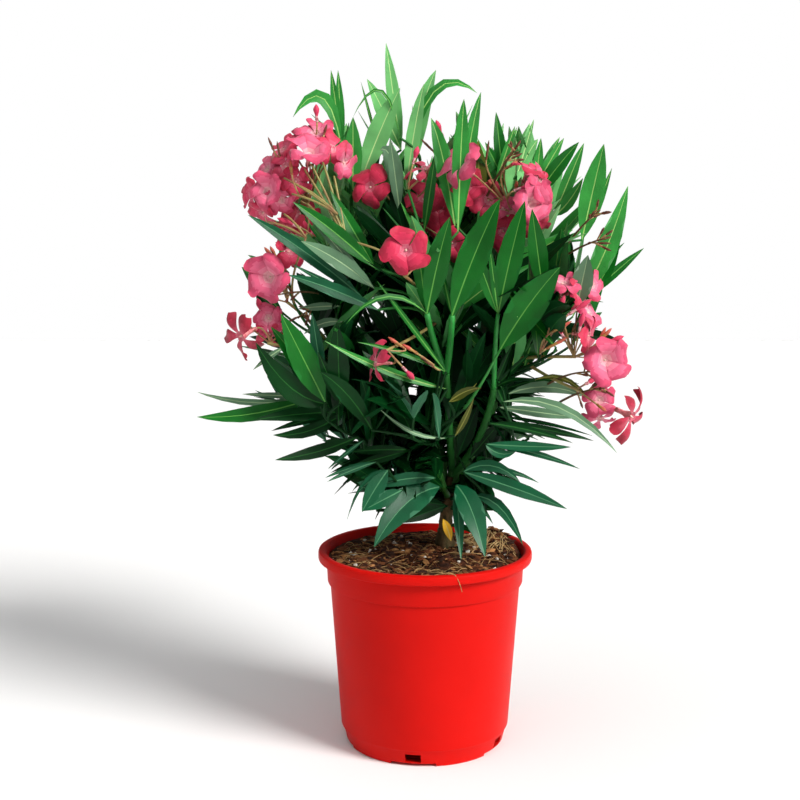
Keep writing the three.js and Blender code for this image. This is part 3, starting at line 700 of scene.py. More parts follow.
CHIP = {
    "count": 1700,
    "size": (0.9, 3.2),  # at least, and how much more
    "flat": (0.35, 0.3),
    "long": (1, 1.6),
    "wobble": (0.75, 0.5),
    "tilt": 1.2,
    "raised": 0.25,
    "ring": ((1, 0.2, 0), (0.3, 0.9, 0.1), (-0.8, 0.6, 0), (-0.9, -0.5, 0.1), (0.4, -0.9, 0)),
    "peaks": ((0, 0, 1), (0, 0, -1)),
}
FIBRE = {
    "count": 620,
    "length": (8, 26),
    "bow": 7,
    "lift": (0.6, 2.6),
    "thick": (0.28, 0.4),
    "raised": 0.5,
    "heaped_every": 3,
    "heap_reach": 34,
}
RIM_FIBRE = {"angle": -76, "rooted": 88, "drop": 16, "thick": 0.5}
# Shares of the litter: perlite, then dark of what is left, then brown of what is left. Pale of the fibres.
LITTER_SHARES = {"perlite": 0.035, "dark": 0.5, "brown": 0.62, "pale": 0.6}
LITTER_MARGIN = 4  # inside the pot's wall
DARK_CHIP, BROWN_CHIP, TAN_CHIP, PERLITE, PALE_FIBRE, STRAW = range(6)


def litter_materials():
    chips = {"chip_dark": ((48, 26, 16), (0.7, 1.3)), "chip_brown": ((112, 66, 38), (0.7, 1.25)),
             "chip_tan": ((168, 118, 72), (0.75, 1.2))}
    made = []
    for name, (color, patchy) in chips.items():
        made.append(make_material(name, linear(*color), 0.9, patchy, 500, 0.8, 900, specular=0.2))
    made.append(make_material("perlite", linear(226, 220, 208), 0.9, (0.8, 1.05), 700, 0.8, 1200))
    made.append(make_material("fibre", linear(176, 138, 88), 0.85, (0.7, 1.2), 300))
    made.append(make_material("straw", linear(206, 172, 116), 0.8, (0.75, 1.15), 300))
    return made


def scatter(rim, roll):
    """A random place in a disc."""
    reach = rim * math.sqrt(roll())
    turn = 2 * math.pi * roll()
    return reach * math.cos(turn), reach * math.sin(turn)


def lumpy_height(x, y):
    return soil_height(x, y) + crumbs(x, y)


def chip_kind(roll):
    if roll() < LITTER_SHARES["perlite"]:
        return PERLITE
    if roll() < LITTER_SHARES["dark"]:
        return DARK_CHIP
    return BROWN_CHIP if roll() < LITTER_SHARES["brown"] else TAN_CHIP


def make_chips(materials, rim, roll):
    """Bark chips and perlite on the soil, each a small lump with a ring of corners and two peaks."""
    chips = Pile()
    corners = CHIP["ring"] + CHIP["peaks"]
    ring = len(CHIP["ring"])
    above = [(k, (k + 1) % ring, ring) for k in range(ring)]
    below = [((k + 1) % ring, k, ring + 1) for k in range(ring)]
    for _ in range(CHIP["count"]):
        x, y = scatter(rim, roll)
        size = spread(CHIP["size"], roll() ** 3)
        kind = chip_kind(roll)
        centre = Vector((x, y, lumpy_height(x, y) + size * CHIP["raised"]))
        turned = Matrix.Rotation(math.pi * roll(), 3, "Z")
        turned = turned @ Matrix.Rotation(CHIP["tilt"] * (roll() - 0.5), 3, "X")
        flat = 1 if kind == PERLITE else spread(CHIP["flat"], roll())
        long = 1 if kind == PERLITE else spread(CHIP["long"], roll())
        shape = []
        for a, b, c in corners:
            wobble = spread(CHIP["wobble"], roll())
            corner = Vector((a * size * long * wobble, b * size * wobble, c * size * flat))
            shape.append(centre + turned @ corner)
        chips.add(shape, above + below, kind)
    piece = chips.piece("soil_chips", materials, smooth=False)
    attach(piece, "root")


def make_fibres(materials, rim, roll):
    """Thin bowed fibres on the soil, many of them straw on its heap."""
    heap = SOIL["heap"]
    fibres = Pile()
    for i in range(FIBRE["count"]):
        heaped = i % FIBRE["heaped_every"] == 0
        x, y = scatter(FIBRE["heap_reach"] if heaped else rim, roll)
        if heaped:
            x, y = heap["x"] + x, heap["y"] + y
        length = spread(FIBRE["length"], roll())
        heading = 2 * math.pi * roll()
        bow = FIBRE["bow"] * (roll() - 0.5)
        dx, dy = math.cos(heading), math.sin(heading)
        ends = [(x - dx * length / 2, y - dy * length / 2), (x + dx * length / 2, y + dy * length / 2)]
        lift = spread(FIBRE["lift"], roll())
        if any(math.hypot(*end) > rim for end in ends) or math.hypot(x, y) > rim:
            continue
        start, tip = (Vector((a, b, lumpy_height(a, b) + FIBRE["raised"])) for a, b in ends)
        middle = Vector((x - dy * bow, y + dx * bow, lumpy_height(x, y) + lift * 2))
        thick = spread(FIBRE["thick"], roll())
        shape = tube_shape(Sweep(start, middle, tip), lambda t, turn: thick * (1 - 0.5 * t), 4, 6)
        plain = STRAW if heaped else (PALE_FIBRE if roll() < LITTER_SHARES["pale"] else BROWN_CHIP)
        fibres.add(*shape, plain)
    hang_over_rim(fibres)
    piece = fibres.piece("soil_fibres", materials)
    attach(piece, "root")


def make_litter():
    """What lies on the soil."""
    roll = dice(SEEDS["litter"])
    materials = litter_materials()
    rim = inner_radius(SOIL["edge_height"]) - LITTER_MARGIN
    make_chips(materials, rim, roll)
    make_fibres(materials, rim, roll)


def hang_over_rim(fibres):
    """One long fibre that lies over the front of the rim."""
    angle = math.radians(RIM_FIBRE["angle"])
    out = Vector((math.cos(angle), math.sin(angle), 0))
    aside = Vector((-out.y, out.x, 0))
    rooted = out * RIM_FIBRE["rooted"]
    top = out * (POT["lip_radius"] - 3) + Vector((0, 0, POT["height"] + 0.6))
    inner = rooted - aside * 16 + Vector((0, 0, soil_height(*rooted[:2]) + 2))
    outer = out * (POT["lip_radius"] + 1.6) + aside * 7 + Vector((0, 0, POT["height"] - RIM_FIBRE["drop"]))
    rising = Sweep(inner, top - aside * 6 + UP * 3, top)
    falling = Sweep(top, top + out * 3.6 + aside * 3 - UP * 1, outer)
    thick = RIM_FIBRE["thick"]
    fibres.add(*tube_shape(rising, straight_taper((thick, thick)), 5, 10), PALE_FIBRE)
    fibres.add(*tube_shape(falling, lambda t, turn: thick - 0.2 * t, 5, 8), PALE_FIBRE)


# ---- Limbs ----


def trunk_limb():
    x, y = TRUNK["foot"]
    start = Vector((x, y, soil_height(x, y) + GAP))
    top = Vector(TRUNK["top"])
    height = top.z - start.z

    def radius_at(t, turn):
        flare = TRUNK["flare"] * math.exp(-t * height / TRUNK["flare_height"])
        lobed = 0.75 + 0.25 * math.cos(TRUNK["lobes"] * turn)
        return lerp(TRUNK["radius"], TRUNK["top_radius"], t) + flare * lobed

    return {"curve": Sweep(start, (x, y, lerp(start.z, top.z, 0.5)), top), "radius_at": radius_at}


def straight_taper(radii):
    return lambda t, turn: lerp(radii[0], radii[1], t)


def lay_out_limbs():
    limbs = {"trunk": trunk_limb()}
    for name, (parent, at, tip, radii) in BOUGHS.items():
        carrier = limbs[parent]["curve"]
        start, end = carrier.at(at), Vector(tip)
        curve = onward_curve(start, carrier.heading(1), end) if at == 1 else sweep_curve(start, end)
        limbs[name] = {"curve": curve, "radius_at": straight_taper(radii)}
    return limbs


BARK = {"furrow": 0.7, "ring_gap": 11, "ring": 0.5}
STEM_BARK = {"furrow": 0.16, "ring_gap": 15, "ring": 0.4}


def barked(limb, seed, furrow, ring_gap, ring):
    """A limb's radius with furrows along it and raised rings where leaves once grew."""
    length = limb["curve"].length()

    def radius_at(t, turn):
        along = t * length
        place = Vector((3 * math.cos(turn), 3 * math.sin(turn), along * 0.05 + seed))
        lumps = noise.noise(place) + 0.6 * noise.noise(place * 3)
        node = (along / ring_gap + 0.12 * math.sin(turn * 3 + seed)) % 1
        scar = math.exp(-(((node - 0.5) * ring_gap / 1.3) ** 2))
        return limb["radius_at"](t, turn) + furrow * lumps + ring * scar

    return radius_at


def make_limbs(limbs):
    bark = make_material("bark", linear(96, 76, 50), 0.9, (0.5, 1.25), 160, 1.0, 700, specular=0.25,
                         stretch=(1, 1, 0.35), second=linear(62, 70, 36))
    green = make_material("green_stem", linear(52, 124, 44), 0.5, (0.8, 1.15), 60, 0.5, 500,
                          stretch=(1, 1, 0.4), second=linear(40, 104, 40))
    trunk = Pile()
    trunk.add(*tube_shape(limbs["trunk"]["curve"], barked(limbs["trunk"], 2, **BARK), 36, 90), 0)
    piece = trunk.piece("trunk_bark", [bark])
    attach(piece, "root")
    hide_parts("trunk")
    boughs = Pile()
    for i, name in enumerate(BOUGHS):
        limb = limbs[name]
        steps = int(limb["curve"].length() / 2)
        boughs.add(*tube_shape(limb["curve"], barked(limb, 5 + i, **STEM_BARK), 16, steps), 0)
    piece = boughs.piece("bough_stems", [green])
    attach(piece, "root")
    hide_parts(*BOUGHS)


# ---- Growth ----

SHOOT_REACH = (0.9, 0.4)  # of side shoots, at least and how much more, as a share of the leader's
DEPARTURE = 0.35  # of a placed twig's length that it runs on with the shoot it leaves
NEAR_WOOD = 90  # from a leaf's middle: farther wood isn't in its way
NEAR_FLOWER = 110
LEAST_USED = 0.1  # share of a shoot that is in use: shorter ones are left out
PAST_LEAF = 0.01  # share of a shoot that goes on past its last leaf
RIM_REACH = 6  # inside the rim, where a leaf has to pass over it
# What counts against a place for a twig to leave a shoot, in millimetres: each millimetre that it is too
# high, and a turn of a right angle. level is how far under its node a twig has to leave.
CHOICE = {"shares": 10, "level": 12, "high": 2, "turned": 30}
# A spray's level is its height above a foot, as a share of a height, with some chance in it.
LEVEL = {"foot": 250, "height": 420, "chance": 0.35}
TINT_LEVELS = {"young": 0.84, "fresh": 0.6, "mature": 0.34}
OLIVE_SHARE = 0.035
DEEP_SHARE = 0.45  # of the lowest sprays: the others are blue


def away_in(space, point):
    return math.sqrt(sum(((point[a] - space["heart"][a]) / space["reach"][a]) ** 2 for a in range(3)))


def away_in_crown(point):
    """How far out of the crown's heart a point is, as a share of its reach. The crown narrows downwards."""
    x, y, z = (point[a] - CROWN["heart"][a] for a in range(3))
    low = min(1, max(0, -z / LOW_REACH))
    narrow = 1 - LOW_NARROWING * low
    aside = (x - LOW_SHIFT * low) / CROWN["reach"][0] / narrow
    behind = y / CROWN["reach"][1] / narrow
    above = z / (LOW_REACH if z < 0 else TOP_REACH)
    return math.sqrt(aside**2 + behind**2 + above**2)


def above_ground(point):
    out = math.hypot(point.x, point.y)
    if out > POT["lip_radius"] + LEAF["clear"]:
        return point.z > LEAF["clear"]
    if out > inner_radius(SOIL["edge_height"]) - RIM_REACH:
        return point.z > POT["height"] + LEAF["clear"]
    return point.z > soil_height(point.x, point.y) + LEAF["clear"]


def place_in(space, direction, depth):
    return Vector([space["heart"][a] + space["reach"][a] * depth * direction[a] for a in range(3)])


def grow_shoots(grown, carrier, roll):
    """A mass's leader, and shoots from it that lean out on all sides."""
    heart = Vector(grown["heart"])
    skirt = grown["at"] < 1
    start = carrier.at(grown["at"])
    outward = (heart - start).normalized()
    heading = outward if skirt else carrier.heading(1)
    lead = outward if skirt else (outward + UP).normalized()
    leader = onward_curve(start, heading, place_in(grown, lead, TWIG["depth"]))
    shoots = [leader]
    phase = 2 * math.pi * roll()
    for i in range(1, grown["shoots"]):
        share = i / grown["shoots"]
        lean = math.radians(grown["habit"]["spread"]) * math.sqrt(share)
        reach = TWIG["depth"] * spread(SHOOT_REACH, roll())
        tip = place_in(grown, leaning(lead, lean, phase + i * GOLDEN_ANGLE), reach)
        shoots.append(sweep_curve(on_twig(leader, lerp(TWIG["parting"][1], TWIG["parting"][0], share)), tip))
    return shoots


def grow_fine(shoot, roll):
    """Side twigs near a shoot's tip."""
    twigs = []
    phase = 2 * math.pi * roll()
    for i in range(FINE["twigs"]):
        share = lerp(*FINE["parting"], roll())
        start = shoot.at(share)
        direction = leaning(shoot.heading(share), math.radians(FINE["lean"]), phase + i * GOLDEN_ANGLE)
        length = lerp(*FINE["length"], roll())
        tip = start + direction * length + UP * (FINE["rise"] * length)
        twigs.append(Sweep(start, start + direction * (0.5 * length), tip))
    return twigs


def departing_twig(shoot, share, node):
    """A twig to a node that leaves a shoot along its heading."""
    start = shoot.at(share)
    return Sweep(start, start + shoot.heading(share) * (DEPARTURE * (node - start).length), node)


def cut_curve(curve, share):
    """The part of a curve up to a share of it."""
    return Sweep(curve.a, curve.a.lerp(curve.b, share), curve.at(share))


def leaf_record(base, control, tip, side, width, tint, twist, wave):
    """A leaf along a curve. twist is its turn over its length, and wave the phase of its edge's ripple."""
    return {
        "base": base,
        "control": control,
        "tip": tip,
        "side": side,
        "width": width,
        "tint": tint,
        "twist": twist,
        "wave": wave,
    }


def leaf_points(leaf):
    """Points over a leaf's blade, for its room."""
    spine = Sweep(leaf["base"], leaf["control"], leaf["tip"])
    points = [spine.at(1)]
    for t in LEAF["probes"]:
        middle = spine.at(t)
        reach = leaf["width"] / 2 * min(1, (1 - t) / LEAF["taper"])
        points.extend((middle, middle + leaf["side"] * reach, middle - leaf["side"] * reach))
    return points


def blade_points(leaf):
    """Points close together over a leaf's blade, for what it hides."""
    spine = Sweep(leaf["base"], leaf["control"], leaf["tip"])
    rows = 31
    points = []
    for i in range(2, rows):
        t = i / rows
        reach = leaf["width"] / 2 * leaf_outline(t)
        points.extend(spine.at(t) + leaf["side"] * (reach * share) for share in (-1, -0.5, 0, 0.5, 1))
    return points


def disc_points(middle, facing, radius):
    u, v = across(facing)
    turns = [math.pi * i / 6 for i in range(12)]
    ring = [u * math.cos(turn) + v * math.sin(turn) for turn in turns]
    return [middle] + [middle + out * (radius * share) for share in (0.35, 0.7, 1) for out in ring]


def reach_into(points, places, near):
    """Whether a leaf's points reach into a place, a centre with a radius, that is near the leaf's middle."""
    middle = points[len(points) // 2]
    return any(
        (centre - middle).length < near and any((point - centre).length < radius for point in points)
        for centre, radius in places
    )


class Room:
    """The space that leaves take, as small cells."""

    def __init__(self):
        self.cells = set()

    def key(self, point):
        return tuple(int(c // LEAF["cell"]) for c in point)

    def crowding(self, points):
        return sum(self.key(p) in self.cells for p in points) / len(points)

    def take(self, points):
        self.cells.update(self.key(p) for p in points)


def grow_leaves(curve, habit, roll, fits, tint, internode=INTERNODE, scale=1.0):
    """Whorls of leaves up a curve, as far as they fit."""
    leaves = []
    first, last = TWIG["first_whorl"], TWIG["last_whorl"]
    whorls = max(2, round(curve.length() * (1 - first) / internode) + 1)
    start_turn = 2 * math.pi * roll()
    for k in range(whorls):
        share = lerp(first, last, k / (whorls - 1))
        for j in range(TWIG["leaves_per_whorl"]):
            turn = start_turn + (j + k / 2) * 2 * math.pi / TWIG["leaves_per_whorl"]
            leaf = grow_leaf(curve, share, turn, habit, roll, fits, tint, scale)
            if leaf:
                leaves.append(leaf)
    return leaves


def grow_leaf(curve, share, turn, habit, roll, fits, tint, scale):
    """A leaf at a share of a curve, turned or shortened where it doesn't fit, or None."""
    base, axis = curve.at(share), curve.heading(share)
    angle = math.radians(lerp(*habit["open"], share) + LEAF["open_spread"] * (roll() - 0.5))
    length = habit["leaf"] * spread(LEAF["lengths"], roll()) * scale * (1 - LEAF["young"] * share**3)
    droop = habit["droop"] * spread(LEAF["droops"], roll())
    roll_over = LEAF["twist"] * (roll() - 0.5)
    edge = lerp(*RAGGED, roll())
    width = LEAF["width"] + LEAF["width_spread"] * (roll() - 0.5)
    wave = roll_over % 1
    for extra in LEAF["turns"]:
        direction = (leaning(axis, angle, turn + extra) + UP * habit["lift"]).normalized()
        side = (axis + UP).cross(direction).normalized()
        side.rotate(Matrix.Rotation(roll_over, 3, direction))
        for part in LEAF["shares"]:
            long = length * part
            control = base + direction * (long / 2)
            tip = base + direction * long - UP * (droop * long)
            twist = LEAF["own_twist"] * (wave - 0.5)
            leaf = leaf_record(base, control, tip, side, width * long, tint, twist, wave)
            if fits(leaf, edge):
                leaf["share"] = share
                return leaf
    return None


def flower_record(root, foot, facing, head, kind, size):
    """A flower that faces away from its foot, on a stalk from its root."""
    return {"root": root, "foot": foot, "facing": facing, "head": head, "kind": kind, "size": size}


def grow_head(head, leader, roll):
    """A head's bare stalk, and flowers over a cone from its end."""
    end = Vector(head[:3])
    count = head[3]
    stalk = sweep_curve(on_twig(leader, FLOWER["parting"]), end, FLOWER["stalk_sweep"])
    heading = stalk.heading(1)
    root = stalk.at(FLOWER["rooted"])
    flowers = []
    for i in range(count):
        lean = math.radians(FLOWER["cone"]) * math.sqrt((i + 0.3) / count)
        longest = FLOWER["pedicel"][0] + FLOWER["pedicel"][1] * math.sqrt(count - 1)
        length = lerp(FLOWER["pedicel"][0], longest, roll())
        direction = leaning(heading, lean, i * GOLDEN_ANGLE)
        foot = end + direction * length
        outward = (foot - Vector(CROWN["heart"])).normalized()
        tilted = leaning(direction, math.radians(FLOWER["tilt"]) * roll(), 2 * math.pi * roll())
        facing = (tilted + outward * FLOWER["outward"]).normalized()
        flowers.append(flower_record(root, foot, facing, head, "wheel", spread(FLOWER["sizes"], roll())))
    return stalk, flowers


def tint_of(end, roll):
    """The tint of one spray: lighter towards the top of the crown, bluish low down, darkest in its middle,
    where the dark tints are painted shade.
    """
    chance = roll()
    level = (end.z - LEVEL["foot"]) / LEVEL["height"] + LEVEL["chance"] * (roll() - 0.5)
    if chance < OLIVE_SHARE:
        return "olive"
    if away_in(CROWN, end) < SHADED["depth"] and end.z < SHADED["top"]:
        return "shade" if roll() < SHADED["share"] else "deep"
    for tint, least in TINT_LEVELS.items():
        if level > least:
            return tint
    return "deep" if roll() < DEEP_SHARE else "blue"


def limb_beads(limbs):
    """Balls along the limbs that no leaf may pass through: centre and radius."""
    beads = []
    for limb in limbs.values():
        count = math.ceil(limb["curve"].length() / 6)
        for i in range(count + 1):
            beads.append((limb["curve"].at(i / count), limb["radius_at"](i / count, 0) + LEAF["clear"]))
    return beads


class Plant:
    """What has grown, and what a new leaf has to leave free."""

    def __init__(self, limbs):
        self.limbs = limbs
        self.shoots = {}  # of each mass, its leader first
        self.carried = {}  # shares of a shoot that placed twigs leave from
        self.twigs, self.stalks, self.flowers, self.bud_roots = [], [], [], []
        self.leaves = {m["name"]: [] for m in MASSES}
        self.room, self.view, self.sky = Room(), View(), Sky(SKY_PLACES)
        self.beads = limb_beads(limbs)
        self.open_places = []  # in front of flowers
        for name, (low, high) in SEEN_LIMBS.items():
            shares = [lerp(low, high, i / 40) for i in range(41)]
            self.keep_in_sight([limbs[name]["curve"].at(share) for share in shares], LIMB_CLEARANCE)

    def keep_in_sight(self, places, clearance):
        self.view.keep([place + Vector((aside, 0, 0)) for place in places for aside in clearance])

    def fits(self, leaf, edge):
        """Whether a leaf stays in the crown and leaves free what it has to. If so, it takes its room."""
        points = leaf_points(leaf)
        if any(away_in_crown(point) > edge or not above_ground(point) for point in points):
            return False
        if reach_into(points, self.beads, NEAR_WOOD):
            return False
        if self.room.crowding(points) > LEAF["crowding"] or self.view.hidden_by(points) > LEAF["hiding"]:
            return False
        if reach_into(points, self.open_places, NEAR_FLOWER) or self.sky.hidden_by(blade_points(leaf)):
            return False
        self.room.take(points)
        return True

    def add_twig(self, curve, radii, skin=None):
        """skin is the place of its material in the list of twig_materials. By itself it goes by height: twigs
        that end low get the shaded skin, a painted shade.
        """
        if skin is None:
            skin = SHADED_TWIG if curve.at(1).z < TWIG["shaded_below"] else DARK_TWIG
        self.twigs.append((curve, radii, skin))

    def nearest_wood(self, node):
        """The mass, shoot and share that a twig to a node leaves from: near, below it and heading its way."""
        candidates = []
        for name, shoots in self.shoots.items():
            for shoot in shoots:
                for step in range(CHOICE["shares"]):
                    share = (step + 1) / CHOICE["shares"]
                    place = shoot.at(share)
                    high = max(0, place.z - node.z + CHOICE["level"])
                    turned = 1 - shoot.heading(share).dot((node - place).normalized())
                    cost = (place - node).length + CHOICE["high"] * high + CHOICE["turned"] * turned
                    candidates.append((cost, name, shoot, share))
        name, shoot, share = min(candidates, key=lambda choice: choice[0])[1:]
        self.carried.setdefault(shoot, []).append(share)
        return name, shoot, share

    def branch_to(self, node, radii, skin=None):
        """A twig to a node from the shoot that suits it best."""
        _, shoot, share = self.nearest_wood(node)
        self.add_twig(departing_twig(shoot, share, node), radii, skin)

    def grow_wood(self):
        """The shoots and heads of every mass."""
        seeded, roots = [], {}
        for grown in MASSES:
            roll = dice(grown["seed"])
            shoots = grow_shoots(grown, self.limbs[grown["limb"]]["curve"], roll)
            self.shoots[grown["name"]] = shoots
            for head in grown["heads"]:
                stalk, opened = grow_head(head, shoots[0], roll)
                self.stalks.append(stalk)
                seeded.extend(opened)
                roots[head] = stalk.at(FLOWER["rooted"])
        self.flowers.extend(shown_flowers(roots))
        for flower in seeded:
            mouth = mouth_of(flower)
            apart = all((mouth - mouth_of(other)).length > FLOWER["apart"] for other in self.flowers)
            if mouth.y > FLOWER["behind"] and apart:
                self.flowers.append(flower)

    def keep_flowers_free(self):
        """No leaf grows close in front of a flower, and none hides one that faces the viewer."""
        for flower in self.flowers:
            foot, facing, size = flower["foot"], flower["facing"], flower["size"]
            for ahead, radius in FLOWER["kept_free"]:
                self.open_places.append((foot + facing * ahead, radius * size))
            if facing.y < 0:
                self.view.keep(disc_points(mouth_of(flower), facing, FLOWER["disc"] * size))

    def grow_spray(self, spray):
        """A placed spray, on a twig from the shoot that suits it best, on its own stem, or on neither."""
        node = at_pixel(*spray["node"])
        name, shoot, share = self.nearest_wood(node)
        if spray["stem"] == "twig":
            self.add_twig(departing_twig(shoot, share, node), SPRAY_TWIG)
        elif spray["stem"]:
            self.grow_stem(spray, node)
        for k, (u, v, y, bow, width) in enumerate(spray["tips"]):
            tip = at_pixel(u, v, y)
            length = (tip - node).length
            axis = (tip - node).normalized()
            rise = UP - axis * UP.dot(axis)
            control = (node + tip) / 2 + (UP * BOW["up"] + rise * BOW["square"]) * (2 * bow * length)
            side = TOWARDS_CAMERA.cross(axis).normalized()
            # A twist and a ripple that differ from leaf to leaf without a random draw.
            twist = 0.5 * math.sin(7 * k + node.x)
            wave = (0.37 * k + 0.013 * node.x) % 1
            leaf = leaf_record(node, control, tip, side, width * length, spray["tint"], twist, wave)
            self.leaves[name].append(leaf)
            self.room.take(leaf_points(leaf))
            self.view.keep(blade_points(leaf))

    def grow_stem(self, spray, node):
        """A stem that stays in sight, from a limb or from a pixel, past its bend to a node."""
        start, bend_px, kind = spray["stem"]
        foot = self.limbs[start[0]]["curve"].at(start[1]) if start[0] in self.limbs else at_pixel(*start)
        curve = Sweep(foot, at_pixel(*bend_px, (foot.y + spray["node"][2]) / 2), node)
        *radii, skin = SEEN_STEMS[kind]
        self.add_twig(curve, radii, skin)
        self.keep_in_sight([curve.at(i / 30) for i in range(2, 31)], STEM_CLEARANCE)

    def grow_stalks(self, foot_place, tip_places):
        """Placed pale stalks that share a foot."""
        foot = at_pixel(*foot_place)
        self.branch_to(foot, SEEN_STALK, PALE_STALK)
        for tip_place in tip_places:
            tip = at_pixel(*tip_place)
            curve = Sweep(foot, (foot + tip) / 2 + UP * SEEN_STALK_BOW, tip)
            self.add_twig(curve, SEEN_STALK, PALE_STALK)
            self.view.keep([curve.at(i / 24) for i in range(1, 24)])

    def fill_mass(self, grown):
        """Leaves on a mass's shoots and on fine twigs, and each shoot as far up as something grows on it."""
        roll = dice(grown["seed"] + SEEDS["leaves"])
        shoots, leaves = self.shoots[grown["name"]], self.leaves[grown["name"]]
        used = [max([0, *self.carried.get(shoot, [])]) for shoot in shoots]
        used[0] = max(used[0], TWIG["parting"][1])
        for i, shoot in enumerate(shoots):
            tint = tint_of(shoot.at(1), roll)
            own = grow_leaves(shoot, grown["habit"], roll, self.fits, tint)
            leaves.extend(own)
            used[i] = max([used[i], *(leaf["share"] for leaf in own)])
        for i, shoot in enumerate(shoots):
            for fine in grow_fine(shoot, roll):
                end = fine.at(1)
                if away_in(CROWN, end) > FINE["edge"] or not above_ground(end - UP * FINE["clear"]):
                    continue
                tint = tint_of(end, roll)
                own = grow_leaves(fine, grown["habit"], roll, self.fits, tint, INTERNODE, FINE["leaf"])
                if own:
                    self.add_twig(cut_curve(fine, max(leaf["share"] for leaf in own)), FINE["radii"])
                    leaves.extend(own)
                    used[i] = max(used[i], FINE["parting"][1])
        for i, shoot in enumerate(shoots):
            if used[i] > LEAST_USED:
                end = min(1, used[i] + PAST_LEAF)
                self.add_twig(cut_curve(shoot, end), TWIG["radii"] if i else TWIG["leader"])

    def grow_inner(self):
        """Narrow dark leaves along the boughs, inside the crown: their dark tints are painted shade."""
        roll = dice(INNER["seed"])
        owners = {m["limb"]: m["name"] for m in reversed(MASSES)}
        for limb_name, limb in self.limbs.items():
            if limb_name in owners:
                for tint, scale in INNER["rounds"]:
                    own = grow_leaves(limb["curve"], INNER, roll, self.fits, tint, INNER["internode"], scale)
                    self.leaves[owners[limb_name]].extend(own)


def grow_plant(limbs):
    """What the photograph shows plainly is placed first, and the rule grows the rest round it."""
    plant = Plant(limbs)
    plant.grow_wood()
    plant.keep_flowers_free()
    for placed in SHOWN_SPRAYS:
        plant.grow_spray(placed)
    for foot_place, tip_places in SHOWN_STALKS:
        plant.grow_stalks(foot_place, tip_places)
    for place in BUD_ROOTS:
        plant.bud_roots.append(at_pixel(*place))
        plant.branch_to(plant.bud_roots[-1], BUD_TWIG)
    for grown in MASSES:
        plant.fill_mass(grown)
    plant.grow_inner()
    return plant


# ---- What the photograph shows plainly ----

# A place is a pixel and a distance behind the pot's axis: u, v, y.


def spray(u, v, y, tint, *tips, stem="twig"):
    """Leaves from one node. Each tip has its place, how far its leaf bows up and its width, as shares of the
    leaf's length. A stem starts at a limb and a share of it, or at a place, and has the pixel of its bend and
    its kind in SEEN_STEMS. "twig" stands for a twig from a shoot, and None for neither."""
    return {"node": (u, v, y), "tint": tint, "tips": tips, "stem": stem}
